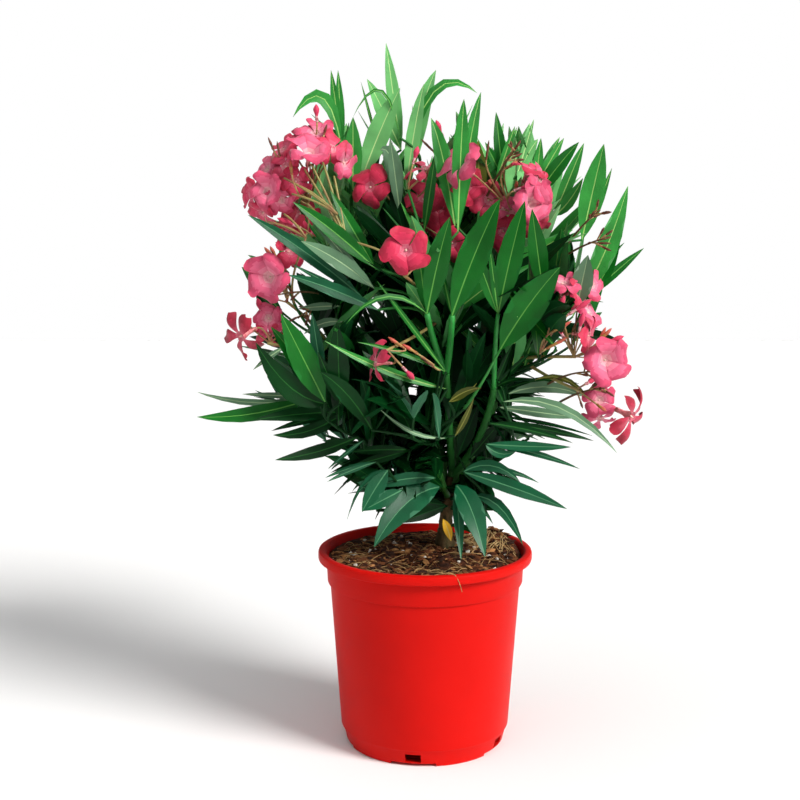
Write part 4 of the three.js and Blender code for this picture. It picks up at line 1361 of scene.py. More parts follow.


# Sprays of the "shade" tint are painted shade: dark leaves where the crown lies in shadow.
SHOWN_SPRAYS = [
    spray(342, 150, 0, "fresh", (293, 117, -10, 0.66, 0.24), (331, 70, 10, 0, 0.13),
          (338, 70, 24, 0.02, 0.11)),
    spray(353, 190, -16, "fresh", (353, 117, -20, 0, 0.26)),
    spray(401, 150, 10, "young", (386, 43, 20, 0, 0.13), (367, 79, -10, 0.03, 0.22)),
    spray(400, 138, -20, "mature", (353, 117, -34, 0.72, 0.07)),
    spray(377, 142, -10, "mature", (361, 82, -6, 0, 0.05)),
    spray(362, 178, -14, "young", (400, 88, -24, 0.04, 0.25)),
    spray(406, 190, -10, "young", (436, 70, 4, 0.14, 0.15), (424, 84, -26, 0.09, 0.14)),
    spray(408, 158, -6, "fresh", (477, 93, -10, 0.44, 0.11)),
    spray(400, 214, -30, "grey", (390, 138, -40, 0.02, 0.16), (380, 150, -30, 0.42, 0.26)),
    spray(458, 232, -70, "fresh", (464, 99, -64, 0.13, 0.13), (481, 92, -30, 0.11, 0.1)),
    spray(455, 226, -50, "fresh", (431, 118, -46, 0.12, 0.17), (474, 128, -20, 0, 0.1)),
    spray(424, 232, -40, "mature", (436, 150, -50, 0, 0.13)),
    spray(480, 200, -20, "olive", (478, 140, -20, 0, 0.26)),
    spray(503, 178, 0, "mature", (496, 112, 6, 0, 0.19), (485, 142, -4, 0, 0.22)),
    spray(496, 182, -4, "fresh", (515, 126, -8, 0, 0.14), (517, 127, 4, 0.02, 0.1)),
    spray(517, 176, 0, "young", (534, 119, 4, 0, 0.12), (538, 139, 6, 0.06, 0.3)),
    spray(535, 190, 0, "fresh", (564, 138, 10, 0.03, 0.18), (560, 137, 16, 0.06, 0.14),
          (541, 138, 8, 0, 0.2)),
    spray(534, 200, -6, "mature", (579, 142, -14, 0.04, 0.22)),
    spray(554, 216, 4, "fresh", (584, 143, 14, 0, 0.17), (583, 178, 0, -0.1, 0.28)),
    spray(582, 240, -14, "fresh", (604, 144, -14, 0.02, 0.25), (612, 168, 6, -0.04, 0.11)),
    spray(585, 291, -24, "fresh", (628, 186, -26, -0.09, 0.2)),
    spray(588, 298, -16, "mature", (621, 233, -12, -0.12, 0.2), (644, 248, -6, 0.02, 0.13)),
    spray(577, 306, -44, "grey", (588, 255, -60, 0, 0.4)),
    spray(446, 372, -50, "mature", stem=(("bough_centre", 0.06), (449, 430), "low")),
    spray(494, 388, -48, "deep", (531, 352, -62, 0, 0.12), (523, 378, -70, 0.06, 0.14),
          (512, 345, -70, 0, 0.12), stem=(("bough_centre", 0), (486, 440), "low")),
    spray(452, 316, -98, "mature", (500, 199, -112, 0.05, 0.25), (476, 245, -80, 0, 0.2),
          (440, 262, -90, 0, 0.1), stem=((446, 373, -50), (451, 345), "high")),
    spray(427, 314, -96, "mature", (450, 217, -112, 0.06, 0.24), (415, 228, -70, 0, 0.18),
          (346, 324, -124, 0.26, 0.07), stem=((446, 373, -50), (433, 344), "high")),
    spray(498, 314, -80, "mature", (525, 201, -90, 0.04, 0.22), (475, 250, -94, 0, 0.2),
          (489, 242, -96, 0, 0.1), stem=((494, 389, -48), (494, 350), "slim")),
    spray(543, 292, -62, "mature", (532, 209, -76, 0, 0.23)),
    spray(500, 350, -84, "mature", (560, 267, -104, 0.05, 0.34)),
    spray(362, 297, -70, "blue", (248, 215, -84, 0.03, 0.11)),
    spray(378, 310, -84, "blue", (288, 275, -96, 0.03, 0.15), (292, 264, -90, 0, 0.07)),
    spray(375, 268, -78, "mature", (293, 202, -92, 0.03, 0.16), (330, 190, -60, 0, 0.16)),
    spray(374, 288, -78, "grey", (301, 241, -88, 0.05, 0.2), (300, 206, -86, 0, 0.08)),
    spray(446, 372, -90, "mature", (377, 281, -112, 0, 0.05), (357, 342, -116, 0.04, 0.06)),
    spray(447, 389, -84, "fresh", (325, 341, -112, -0.04, 0.065)),
    spray(325, 402, -84, "mature", (281, 314, -96, 0, 0.28), (271, 327, -88, 0.04, 0.2)),
    spray(327, 404, -80, "deep", (256, 343, -92, -0.16, 0.26), (300, 330, -76, 0, 0.2)),
    spray(322, 378, -76, "blue", (312, 313, -80, 0, 0.2)),
    spray(340, 404, -90, "deep", (337, 322, -104, 0, 0.26), (318, 352, -100, 0, 0.2)),
    spray(286, 346, -60, "grey", (253, 370, -70, 0.03, 0.15)),
    spray(310, 399, -50, "mature", (197, 417, -70, -0.05, 0.14)),
    spray(312, 397, -40, "grey", (242, 394, -46, 0, 0.09), (197, 392, -20, -0.07, 0.06)),
    spray(345, 412, -60, "deep", (254, 420, -80, 0.02, 0.16), (271, 431, -60, 0.02, 0.1),
          (273, 435, -70, -0.1, 0.17)),
    spray(358, 437, -60, "deep", (275, 460, -84, -0.04, 0.16)),
    spray(364, 440, -66, "blue", (328, 469, -70, 0.02, 0.1)),
    spray(376, 462, -70, "blue", (327, 482, -90, 0.03, 0.1), (325, 478, -80, 0.04, 0.1)),
    spray(372, 430, -92, "deep", (320, 372, -104, 0.1, 0.24)),
    spray(388, 470, -80, "blue", (362, 512, -96, 0.04, 0.36), (357, 493, -84, 0.06, 0.25),
          (347, 520, -70, 0.25, 0.06)),
    spray(440, 487, -30, "blue", (374, 547, -96, 0.14, 0.29)),
    spray(503, 402, -60, "grey", (617, 453, -80, 0.16, 0.085)),
    spray(498, 407, -56, "grey", (582, 418, -54, 0, 0.12)),
    spray(508, 394, -30, "grey", (585, 397, -20, 0.11, 0.15)),
    spray(500, 392, -10, "deep", (560, 376, -6, 0.03, 0.1), (580, 384, -14, 0.1, 0.06)),
    spray(535, 380, -34, "olive", (590, 400, -40, 0.2, 0.1)),
    spray(494, 416, -50, "shade", (593, 436, -60, 0.03, 0.04)),
    spray(488, 423, -60, "deep", (573, 443, -70, 0.03, 0.08), (594, 441, -60, 0.03, 0.08)),
    spray(485, 444, -66, "blue", (571, 447, -80, -0.01, 0.12), (580, 469, -76, 0.04, 0.07),
          (516, 451, -70, -0.2, 0.3)),
    spray(463, 472, -50, "blue", (567, 509, -76, 0.02, 0.14), (520, 482, -60, 0.2, 0.2),
          (539, 483, -40, 0.1, 0.08)),
    spray(472, 496, -44, "blue", (523, 545, -70, 0.22, 0.17), (493, 524, -40, 0.05, 0.12)),
    spray(456, 485, -50, "blue", (485, 557, -100, 0.16, 0.3), (461, 560, -92, 0.06, 0.14)),
    spray(447, 506, -24, "shade", (384, 512, -36, 0.1, 0.2), (400, 523, -46, 0.02, 0.24)),
    spray(402, 490, -70, "blue", (362, 511, -84, 0, 0.34)),
    spray(436, 478, -50, "blue", (372, 488, -60, 0.06, 0.2)),
    spray(410, 450, -50, "deep", (350, 452, -60, 0.02, 0.16), (352, 466, -60, 0, 0.16)),
    spray(446, 438, -84, "grey", (379, 408, -104, -0.12, 0.06)),
    spray(449, 402, -96, "olive", (481, 388, -116, 0.08, 0.2), (477, 383, -104, -0.1, 0.12)),
    spray(455, 436, -70, "olive", (474, 398, -98, -0.06, 0.12)),
    spray(340, 306, -46, "grey", (298, 309, -50, 0.02, 0.2)),
    spray(343, 322, -46, "grey", (304, 334, -50, 0.12, 0.22)),
    spray(405, 350, -20, "shade", (362, 298, -30, 0, 0.2), (384, 294, -30, 0, 0.2)),
    spray(458, 456, -16, "shade", (478, 404, -24, 0, 0.26)),
    spray(470, 458, -16, "deep", (502, 420, -24, 0, 0.26)),
    spray(451, 541, -66, "dead", (443, 519, -76, 0.1, 0.3), stem=None),
]
# Backdrop between the leaves: pixel and radius in pixels.
SKY_PLACES = [
    (375, 112, 8), (362, 135, 6), (404, 108, 5), (391, 135, 5), (455, 100, 9), (440, 115, 8), (446, 130, 7),
    (463, 95, 6), (425, 150, 5), (417, 170, 4), (487, 120, 12), (487, 140, 6), (497, 105, 8), (513, 118, 9),
    (530, 118, 6), (542, 130, 8), (548, 140, 6), (556, 130, 5), (350, 100, 9), (318, 108, 8), (305, 104, 6),
    (352, 72, 12), (412, 70, 12), (412, 96, 5), (572, 160, 5), (594, 150, 7), (608, 200, 4), (616, 185, 7),
    (596, 228, 5), (634, 238, 6), (585, 255, 4),
    (232, 265, 10), (228, 285, 8), (240, 300, 8),
    (250, 310, 8), (215, 300, 12), (215, 320, 10), (245, 332, 6),
    (240, 355, 6), (310, 268, 7), (322, 280, 5), (297, 266, 5), (290, 293, 6), (300, 322, 9), (288, 308, 5),
    (318, 340, 4), (245, 375, 9), (250, 385, 6), (262, 378, 4),
    (618, 312, 16), (634, 292, 12), (640, 325, 10),
    (637, 265, 6), (612, 285, 6), (560, 362, 14), (575, 352, 10),
    (545, 370, 8), (590, 385, 6), (572, 405, 7), (520, 408, 6), (632, 340, 4), (622, 332, 5),
    (525, 460, 14), (537, 465, 10), (510, 460, 9), (500, 490, 6), (545, 485, 6), (550, 495, 6), (508, 500, 9),
    (520, 508, 6), (540, 423, 2), (318, 466, 5), (335, 452, 3), (345, 492, 4), (350, 510, 5), (268, 388, 3),
    (412, 392, 3),
]
# Pale stalks under the head at the left: the place of the foot that they share, and the places of their tips.
SHOWN_STALKS = [
    ((346, 240, -74), ((298, 160, -40), (322, 160, -44), (334, 176, -50), (311, 164, -46))),
    ((337, 214, -72), ((284, 178, -50), (300, 186, -56), (292, 194, -56))),
    ((306, 238, -62), ((268, 222, -44), (284, 214, -50))),
]
# Where the stalks of groups of buds meet.
BUD_ROOTS = [(540, 354, -46), (440, 370, -84), (288, 272, -50), (313, 237, -44), (301, 198, -52),
             (339, 281, -42), (408, 190, -44)]
# Flowers: the place of the mouth, the way it faces as shares to the right, up and towards the viewer, its
# kind and its size.
SHOWN_FLOWERS = [
    (316, 131, -22, 0.1, 0.7, 0.6, "wheel", 0.86),
    (297, 137, -8, -0.4, 0.6, 0.4, "wheel", 0.82),
    (332, 148, -34, 0.4, 0.45, 0.7, "wheel", 0.88),
    (347, 163, -40, 0.8, -0.1, 0.5, "wheel", 0.8),
    (265, 168, -12, -0.6, 0.35, 0.5, "wheel", 0.8),
    (248, 195, -26, -0.7, -0.1, 0.6, "wheel", 0.74),
    (266, 191, -46, -0.35, 0.15, 0.9, "cup", 0.78),
    (261, 216, -30, -0.4, -0.6, 0.5, "wheel", 0.78),
    (281, 202, -42, 0, -0.4, 0.8, "wheel", 0.72),
    (296, 182, -48, 0.1, -0.1, 0.9, "wheel", 0.7),
    (281, 146, -16, -0.5, 0.6, 0.4, "wheel", 0.74),
    (284, 165, -34, -0.5, 0.45, 0.7, "wheel", 0.82),
    (309, 153, -50, 0.15, 0.8, 0.55, "cup", 0.95),
    (300, 214, 0, 0.1, -0.1, 0.9, "wheel", 0.9),
    (370, 187, -28, -0.4, 0.1, 0.85, "rich", 0.95),
    (270, 277, -60, -0.25, 0, 0.95, "cup", 1.04),
    (288, 228, -34, -0.6, 0.4, 0.5, "wheel", 0.95),
    (291, 250, -40, 0.5, 0.3, 0.5, "wheel", 0.8),
    (268, 318, -46, 0, 0.15, 0.95, "wheel", 0.72),
    (270, 338, -42, 0, -0.6, 0.7, "star", 0.74),
    (243, 335, -64, -0.65, -0.3, 0.6, "star", 1.18),
    (406, 250, -118, 0.05, -0.05, 1, "rich", 1.08),
    (461, 166, -62, -0.7, 0.45, 0.45, "wheel", 1.1),
    (425, 168, -36, -0.1, 0.8, 0.5, "star", 0.95),
    (438, 208, -12, 0.1, 0.1, 0.9, "rich", 1),
    (489, 200, -26, 0.2, 0.2, 0.9, "wheel", 0.95),
    (423, 198, -24, 0, 0.5, 0.8, "rich", 0.9),
    (440, 224, -14, 0, 0, 1, "rich", 0.85),
    (468, 187, -46, 0.3, -0.2, 0.9, "rich", 0.85),
    (514, 212, -38, 0, 0.2, 0.9, "wheel", 0.85),
    (452, 243, -42, -0.1, 0.1, 0.9, "rich", 0.8),
    (529, 168, -44, 0.35, 0.9, 0.2, "wheel", 0.9),
    (541, 184, -52, 0.85, 0.2, 0.45, "wheel", 0.9),
    (530, 203, -56, 0.55, 0.1, 0.8, "cup", 1),
    (503, 232, -36, -0.1, -0.2, 0.9, "rich", 0.9),
    (535, 222, -36, 0.4, -0.5, 0.7, "rich", 0.85),
    (375, 362, -104, -0.9, 0.1, 0.3, "star", 0.95),
    (563, 280, -56, 0.1, 0.85, 0.4, "wheel", 0.8),
    (579, 291, -50, 0.85, 0.25, 0.4, "wheel", 0.8),
    (595, 284, -34, 0.5, 0.3, 0.8, "wheel", 0.7),
    (590, 311, -40, 0.6, 0.6, 0.4, "wheel", 0.85),
    (589, 336, -56, 0.9, -0.1, 0.35, "wheel", 0.95),
    (605, 360, -64, 0.25, 0.05, 0.95, "cup", 1.02),
    (600, 400, -52, 0.1, 0.15, 0.95, "wheel", 0.8),
    (601, 421, -46, 0.1, -0.6, 0.7, "star", 0.8),
    (628, 415, -60, 0.7, -0.3, 0.55, "star", 1.25),
]
# Buds: the pixels of the tip and the foot, their distance, and the kind.
SHOWN_BUDS = [
    ((316, 104), (317, 122), -22, "pink"),
    ((268, 137), (274, 151), -24, "brown"),
    ((277, 141), (280, 158), -26, "brown"),
    ((327, 124), (324, 135), -30, "brown"),
    ((277, 218), (301, 228), -48, "pink"),
    ((290, 160), (292, 175), -58, "green"),
    ((316, 253), (329, 270), -46, "green"),
    ((388, 337), (404, 348), -104, "green"),
    ((402, 344), (418, 354), -102, "green"),
    ((420, 357), (434, 367), -98, "brown"),
    ((418, 146), (413, 164), -50, "pink"),
    ((421, 139), (433, 151), -44, "brown"),
    ((436, 120), (443, 138), -16, "pink"),
    ((535, 183), (514, 191), -62, "pink"),
    ((489, 140), (486, 160), -50, "brown"),
    ((521, 142), (507, 158), -48, "brown"),
    ((512, 152), (503, 165), -48, "brown"),
    ((518, 161), (505, 169), -50, "green"),
    ((565, 295), (556, 313), -62, "pink"),
    ((592, 299), (568, 315), -60, "pink"),
    ((572, 321), (552, 332), -62, "green"),
    ((568, 337), (546, 349), -62, "green"),
    ((612, 328), (599, 341), -60, "green"),
    ((606, 327), (598, 343), -58, "green"),
    ((264, 247), (275, 259), -58, "green"),
    ((270, 246), (277, 259), -56, "green"),
]
# Bare brown stalks of spent heads: the pixels of the tip and the foot, and the tip's distance.
SPENT_HEADS = [
    ((600, 210), (563, 250), -60),
    ((606, 238), (556, 262), -56),
    ((515, 150), (487, 196), -70),
    ((604, 388), (560, 402), -70),
    ((282, 294), (330, 296), -60),
    ((298, 318), (334, 302), -60),
    ((588, 372), (548, 384), -66),
]
TOWARDS_CAMERA = Vector((0, -1, 0.3))
# Skins of twigs, as places in the list of twig_materials. SHADED_TWIG is a painted shade of the twigs' green.
GREEN_TWIG, PALE_STALK, DARK_TWIG, SHADED_TWIG = range(4)
# Stems in sight: radii and skin.
SEEN_STEMS = {"low": (4.1, 3.6, DARK_TWIG), "high": (3.5, 2.9, GREEN_TWIG), "slim": (2.8, 2.0, GREEN_TWIG)}
STEM_CLEARANCE = (-7, -3.5, 0, 3.5, 7)  # to the sides of such a stem, where no leaf may stand in front
# Limbs in sight between the leaves, with the shares of their length.
SEEN_LIMBS = {"trunk": (0.1, 1), "bough_centre": (0, 1)}
LIMB_CLEARANCE = (-5, 0, 5)
SPRAY_TWIG = (1.7, 1.2)  # radii
BUD_TWIG = (1.5, 1.2)
SEEN_STALK = (1.3, 1.0)
SEEN_STALK_BOW = 5
BOW = {"up": 0.7, "square": 0.3}  # how much of a placed leaf's bow is straight up, and how much square to it


# ---- Leaf meshes ----


def leaf_outline(t):
    """Half width at a share of the length, as a share of the widest: a short stalk, then a pointed blade."""
    blade = math.sin(math.pi * min(1, max(0, (t - 0.02) / 0.98)) ** 0.86) ** 0.86
    return max(blade, 0.07 if t < 0.5 else 0.015)


def make_leaf_piece(name, leaves, materials):
    """All the leaves of some masses, each with an upper face, an underside and a rib in both."""
    count = len(leaves)
    fields = ("base", "control", "tip", "side", "width", "twist", "wave")
    base, control, tip, side, width, twist, wave = (np.array([leaf[k] for leaf in leaves]) for k in fields)
    along = np.array(STATIONS)[None]
    t = along[..., None]
    spine = base[:, None] * (1 - t) ** 2 + control[:, None] * (2 * t * (1 - t)) + tip[:, None] * t**2
    ahead = (control - base)[:, None] * (1 - t) + (tip - control)[:, None] * t
    ahead /= np.linalg.norm(ahead, axis=2, keepdims=True)
    left = side[:, None] - ahead * np.sum(side[:, None] * ahead, axis=2, keepdims=True)
    left /= np.linalg.norm(left, axis=2, keepdims=True)
    normal = np.cross(ahead, left)
    turn = (twist[:, None] * (along - 0.3))[..., None]
    left, normal = left * np.cos(turn) + normal * np.sin(turn), normal * np.cos(turn) - left * np.sin(turn)
    outline = np.array([leaf_outline(s) for s in STATIONS])
    half = (width[:, None] / 2 * outline[None])[..., None]
    ripple = np.sin(2 * np.pi * (3 * along + wave[:, None]))[..., None] * LEAF["ripple"] * half
    rib = np.minimum(np.array([lerp(*LEAF["rib"], s) for s in STATIONS])[None, :, None], half * 0.6)
    thick = LEAF["thickness"] * np.minimum(1, half / 4 + 0.3)
    out, raised, rippled = LEAF["midway"]

    def blade(wide, high, wavy, drop=0):
        return spine + left * half * wide + normal * (LEAF["fold"] * high * half + ripple * wavy - drop)

    def at_rib(aside, drop=0):
        return spine + left * rib * aside - normal * drop

    edges = blade(1, 1, 1), blade(-1, 1, -1)
    under_rib = thick + rib * 0.5
    columns = [
        edges[0],
        blade(out, raised, rippled),
        at_rib(1),
        at_rib(-1),
        blade(-out, raised, -rippled),
        edges[1],
        edges[0],
        blade(out, raised, rippled, thick),
        at_rib(1, under_rib),
        at_rib(-1, under_rib),
        blade(-out, raised, -rippled, thick),
        edges[1],
    ]
    points = np.stack(columns, axis=2)  # leaf, station, column, xyz
    wide, rows = len(columns), len(STATIONS)
    quads, kinds = [], []
    upper, middle, under = 0, 1, 2  # places in a tint's three materials
    for k in range(rows - 1):
        a, b = k * wide, (k + 1) * wide
        for c in range(5):
            quads.append((a + c, a + c + 1, b + c + 1, b + c))
            kinds.append(middle if c == 2 else upper)
        for c in range(6, 11):
            quads.append((a + c + 1, a + c, b + c, b + c + 1))
            kinds.append(middle if c == 8 else under)
    starts = (np.arange(count) * wide * rows)[:, None, None]
    faces = (np.array(quads)[None] + starts).reshape(-1, 4)
    tints = np.array([TINT_NAMES.index(leaf["tint"]) * 3 for leaf in leaves])
    indices = (tints[:, None] + np.array(kinds)[None]).ravel()
    return make_piece(name, points.reshape(-1, 3), faces.tolist(), materials, indices)


LEAF_PIECES = {
    "leaves_upper": ("foliage_centre", "foliage_top", "foliage_top_left", "foliage_top_right"),
    "leaves_sides": ("foliage_left", "foliage_right", "foliage_rear"),
    "leaves_low": ("foliage_left_low", "foliage_right_low", "foliage_front_low", "foliage_rear_low"),
    "leaves_skirt": ("skirt_left", "skirt_right", "skirt_back"),
}


def make_foliage(leaves):
    materials = leaf_materials()
    for name, masses in LEAF_PIECES.items():
        piece = make_leaf_piece(name, [leaf for m in masses for leaf in leaves[m]], materials)
        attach(piece, "root")
        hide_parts(*masses)


def twig_materials():
    """In the order of GREEN_TWIG, PALE_STALK, DARK_TWIG and SHADED_TWIG."""
    patches = {"patchy": (0.8, 1.15), "scale": 60, "bump": 0.3, "bump_scale": 600}
    return [
        make_material("twig_green", linear(34, 140, 52), 0.5, **patches),
        make_material("stalk_green", linear(150, 150, 84), 0.55, second=linear(158, 108, 72), **patches),
        make_material("twig_dark", linear(36, 104, 40), 0.55, specular=0.2, **patches),
        # twig_shaded is twig_dark darkened, as painted shade
        make_material("twig_shaded", linear(14, 56, 22), 0.6, specular=0.15, **patches),
    ]


def make_twigs(twigs, stalks):
    pile = Pile()
    for curve, radii, skin in twigs:
        steps = max(6, int(curve.length() / 7))
        pile.add(*tube_shape(curve, straight_taper(radii), 8, steps), skin)
    for curve in stalks:
        pile.add(*tube_shape(curve, straight_taper(FLOWER["stalk"]), 8, 16), PALE_STALK)
    piece = pile.piece("twigs", twig_materials())
    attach(piece, "root")


# ---- Flowers ----

FUNNEL = {"length": 17, "profile": ((1.5, 0), (1.9, 5), (2.1, 9), (3.6, 14), (4.6, 17.4)), "sides": 15}
PETAL = {"count": 5, "rows": 10, "columns": 8, "foot": 3.6, "swirl": 3.0, "widest": 0.72, "rounded": 0.64}
# Sizes of each kind's petals: rise is how far they stand up from the funnel, curl how far their tips bend
# back, ruffle how far their edges wave.
PETAL_KINDS = {
    "wheel": {"length": 19, "width": 22, "rise": 5.5, "curl": 6, "ruffle": 2.0},
    "cup": {"length": 20, "width": 25, "rise": 12, "curl": 7, "ruffle": 3.0},
    "star": {"length": 20, "width": 12.5, "rise": 3, "curl": 7, "ruffle": 1.5},
    "rich": {"length": 19, "width": 22, "rise": 5.5, "curl": 6, "ruffle": 2.0},
}
# Each tone's colours from the throat to the petals' ends.
PETAL_TONES = {
    "pale": ((232, 168, 176), (228, 124, 150), (220, 94, 128), (206, 68, 104)),
    "rose": ((226, 136, 150), (216, 80, 112), (208, 54, 90), (192, 38, 72)),
    "deep": ((206, 104, 120), (188, 48, 78), (174, 32, 62), (156, 20, 48)),
    "rich": ((216, 108, 130), (210, 56, 90), (200, 40, 76), (184, 28, 62)),
}
BAND_ENDS = (0.15, 0.34, 0.66)  # where a tone's colours change, from the throat out
TUBE_SKIN, HEART, BUD_TIP, BUD_FOOT, BUD_BROWN = range(16, 21)
BUDS = {
    "pink": {
        "radius": 3.0,
        "tip": 6,
        "foot": 0,
        "long": 22,
        "outline": ((0, 0.4), (0.12, 0.5), (0.34, 0.46), (0.6, 0.95), (0.72, 1), (0.87, 0.62), (1, 0.05)),
    },
    "green": {
        "radius": 1.9,
        "tip": BUD_TIP,
        "foot": BUD_FOOT,
        "long": 15,
        "outline": ((0, 0.5), (0.2, 0.7), (0.5, 0.9), (0.68, 1), (0.86, 0.6), (1, 0.05)),
    },
    "brown": {
        "radius": 1.3,
        "tip": BUD_BROWN,
        "foot": BUD_BROWN,
        "long": 15,
        "outline": ((0, 0.6), (0.3, 0.9), (0.6, 1), (0.85, 0.6), (1, 0.1)),
    },
}
THROAT = {"radius": 4.4, "tufts": 10, "tuft_foot": 3.2, "tuft_tip": (3.6, 1.4), "tuft_height": 2.6,
          "cone": 1.3, "cone_height": 2.2}
CALYX_LOBES = {"count": 5, "foot": 1.2, "shoulder": (1.9, 0.9, 2.6), "tip": (2.6, 6)}
SEEDED_BUDS = {"least": 2, "lean": (0.15, 1.0), "stalk": (14, 18), "sizes": (0.8, 1.1)}
SPENT = {"behind": 40, "bow": 6, "buds": 6, "from": (0.6, 0.4), "lean": (0.3, 0.6), "stalk": (4, 8),
         "bud": (7, 5)}
PALE, ROSE, DEEP, RICH = range(4)  # tones, in the order of PETAL_TONES
TONE_CHANCES = (0.4, 0.82)  # below the first a wheel is pale, below the second rose, and above it deep
PEDICEL, CALYX, SPENT_STALK = range(3)  # places in the list of stem_materials
PEDICEL_BEND = {"share": 0.45, "reach": 30}


def petal_shape(kind, roll):
    """One petal from the funnel's mouth outwards along +X, as a grid of points with the band of each face."""
    shape = PETAL_KINDS[kind]
    length = shape["length"] * lerp(0.88, 1.1, roll())
    rise = shape["rise"] * lerp(0.7, 1.3, roll())
    curl = shape["curl"] * lerp(0.3, 1.6, roll())
    phase = 2 * math.pi * roll()
    points, faces, bands = [], [], []
    for r in range(PETAL["rows"] + 1):
        t = r / PETAL["rows"]
        rounding = math.sqrt(max(0.04, 1 - (max(0, t - PETAL["rounded"]) / (1.02 - PETAL["rounded"])) ** 2.3))
        half = shape["width"] / 2 * (0.28 + 0.72 * smoothstep(t, -0.06, PETAL["widest"])) * rounding
        for c in range(PETAL["columns"] + 1):
            s = 2 * c / PETAL["columns"] - 1
            x = PETAL["foot"] + length * (t + 0.07 * t * s - 0.05 * t * s * s)
            y = half * s + PETAL["swirl"] * t * t
            ripple = shape["ruffle"] * math.sin(3.4 * s + 2.2 * t + phase) * t * (0.35 + 0.65 * abs(s))
            lifted = FUNNEL["length"] + rise * (1 - (1 - t) ** 2) - curl * t**3 + ripple
            z = lifted + 1.9 * s * t - 1.6 * s * s * t
            points.append((x, y, z))
    wide = PETAL["columns"] + 1
    for r in range(PETAL["rows"]):
        for c in range(PETAL["columns"]):
            faces.append((r * wide + c, (r + 1) * wide + c, (r + 1) * wide + c + 1, r * wide + c + 1))
            out = (r + 0.5) / PETAL["rows"]
            aside = abs(2 * (c + 0.5) / PETAL["columns"] - 1)
            bands.append(sum(out + 0.16 * aside**2 > end for end in BAND_ENDS))
    return points, faces, bands


def mouth_of(flower):
    return flower["foot"] + flower["facing"] * FUNNEL["length"]


def shown_flowers(roots):
    """The flowers placed by the photograph, each on a stalk from the nearest head."""
    made = []
    for u, v, y, right, up, near, kind, size in SHOWN_FLOWERS:
        facing = Vector((right, -near, up)).normalized()
        foot = at_pixel(u, v, y) - facing * FUNNEL["length"]
        head = min(roots, key=lambda name: (roots[name] - foot).length)
        made.append(flower_record(roots[head], foot, facing, head, kind, size))
    return made


def tone_of(kind, chance):
    if kind == "rich":
        return RICH
    if kind == "cup" or chance < TONE_CHANCES[0]:
        return PALE
    return ROSE if chance < TONE_CHANCES[1] else DEEP


def add_flower(petals, greens, flower, roll):
    """An open flower: five petals on a funnel, a fringe in its throat, its calyx and its stalk."""
    facing, foot, size = flower["facing"], flower["foot"], flower["size"]
    u, v = across(facing)
    spin = 2 * math.pi * roll()
    u, v = u * math.cos(spin) + v * math.sin(spin), v * math.cos(spin) - u * math.sin(spin)
    first_band = tone_of(flower["kind"], roll()) * (len(BAND_ENDS) + 1)

    def placed(points):
        return [foot + (u * x + v * y + facing * z) * size for x, y, z in points]

    for k in range(PETAL["count"]):
        points, faces, bands = petal_shape(flower["kind"], roll)
        turn = 2 * math.pi * (k + 0.16 * (roll() - 0.5)) / PETAL["count"]
        cos, sin = math.cos(turn), math.sin(turn)
        turned = [(x * cos - y * sin, x * sin + y * cos, z + 0.15 * k) for x, y, z in points]
        petals.add(placed(turned), faces, [first_band + band for band in bands])
    sides = FUNNEL["sides"]
    rings = [point for radius, z in FUNNEL["profile"] for point in ring_of(radius, sides, z)]
    petals.add(placed(rings), quads_between(len(FUNNEL["profile"]) - 1, sides), TUBE_SKIN)
    add_throat(petals, placed, first_band, roll)
    add_calyx(greens, foot, facing, size)
    add_pedicel(greens, flower["root"], foot, facing)


def fan(sides):
    """Faces from a ring of points to the point after them."""
    return [(i, (i + 1) % sides, sides) for i in range(sides)]


def add_throat(petals, placed, band, roll):
    """The fringe round the throat, the pale throat itself and the tip of the stamens in it."""
    mouth, tuft_count = FUNNEL["length"], THROAT["tufts"]
    bowl = [*ring_of(THROAT["radius"], tuft_count, mouth + 0.5), (0, 0, mouth - 2)]
    petals.add(placed(bowl), fan(tuft_count), band)
    fringe, tufts = [], []
    for i in range(tuft_count):
        turn = 2 * math.pi * (i + 0.3 * roll()) / tuft_count
        foot_radius, tip_radius = THROAT["tuft_foot"], spread(THROAT["tuft_tip"], roll())
        foot_z, tip_z = mouth - 0.5, mouth + THROAT["tuft_height"]
        for r, z, swing in ((foot_radius, foot_z, -0.2), (foot_radius, foot_z, 0.2), (tip_radius, tip_z, 0)):
            fringe.append((r * math.cos(turn + swing), r * math.sin(turn + swing), z))
        tufts.append((3 * i, 3 * i + 1, 3 * i + 2))
    petals.add(placed(fringe), tufts, band)
    cone = [*ring_of(THROAT["cone"], 5, mouth - 1), (0, 0, mouth + THROAT["cone_height"])]
    petals.add(placed(cone), fan(5), HEART)


def add_calyx(greens, foot, facing, size):
    """Five narrow pointed lobes under a flower or bud."""
    u, v = across(facing)
    points, faces = [], []
    wide, (far, half, high), (tip_far, tip_high) = (CALYX_LOBES[part] for part in ("foot", "shoulder", "tip"))
    for i in range(CALYX_LOBES["count"]):
        turn = 2 * math.pi * i / CALYX_LOBES["count"]
        out = u * math.cos(turn) + v * math.sin(turn)
        aside = v * math.cos(turn) - u * math.sin(turn)
        start = len(points)
        points.extend([
            foot + aside * wide * size - facing * 0.4,
            foot - aside * wide * size - facing * 0.4,
            foot + out * far * size - aside * half * size + facing * high * size,
            foot + out * far * size + aside * half * size + facing * high * size,
            foot + out * tip_far * size + facing * tip_high * size,
        ])
        faces.extend([(start, start + 1, start + 2, start + 3), (start + 3, start + 2, start + 4)])
    greens.add(points, faces, CALYX)


def add_pedicel(greens, root, foot, facing):
    """A stalk that arrives along the way its flower or bud faces."""
    reach = min((foot - root).length, PEDICEL_BEND["reach"])
    curve = Sweep(root, foot - facing * (PEDICEL_BEND["share"] * reach), foot)
    greens.add(*tube_shape(curve, lambda t, turn: 0.75 + 0.25 * t, 6, 8), PEDICEL)


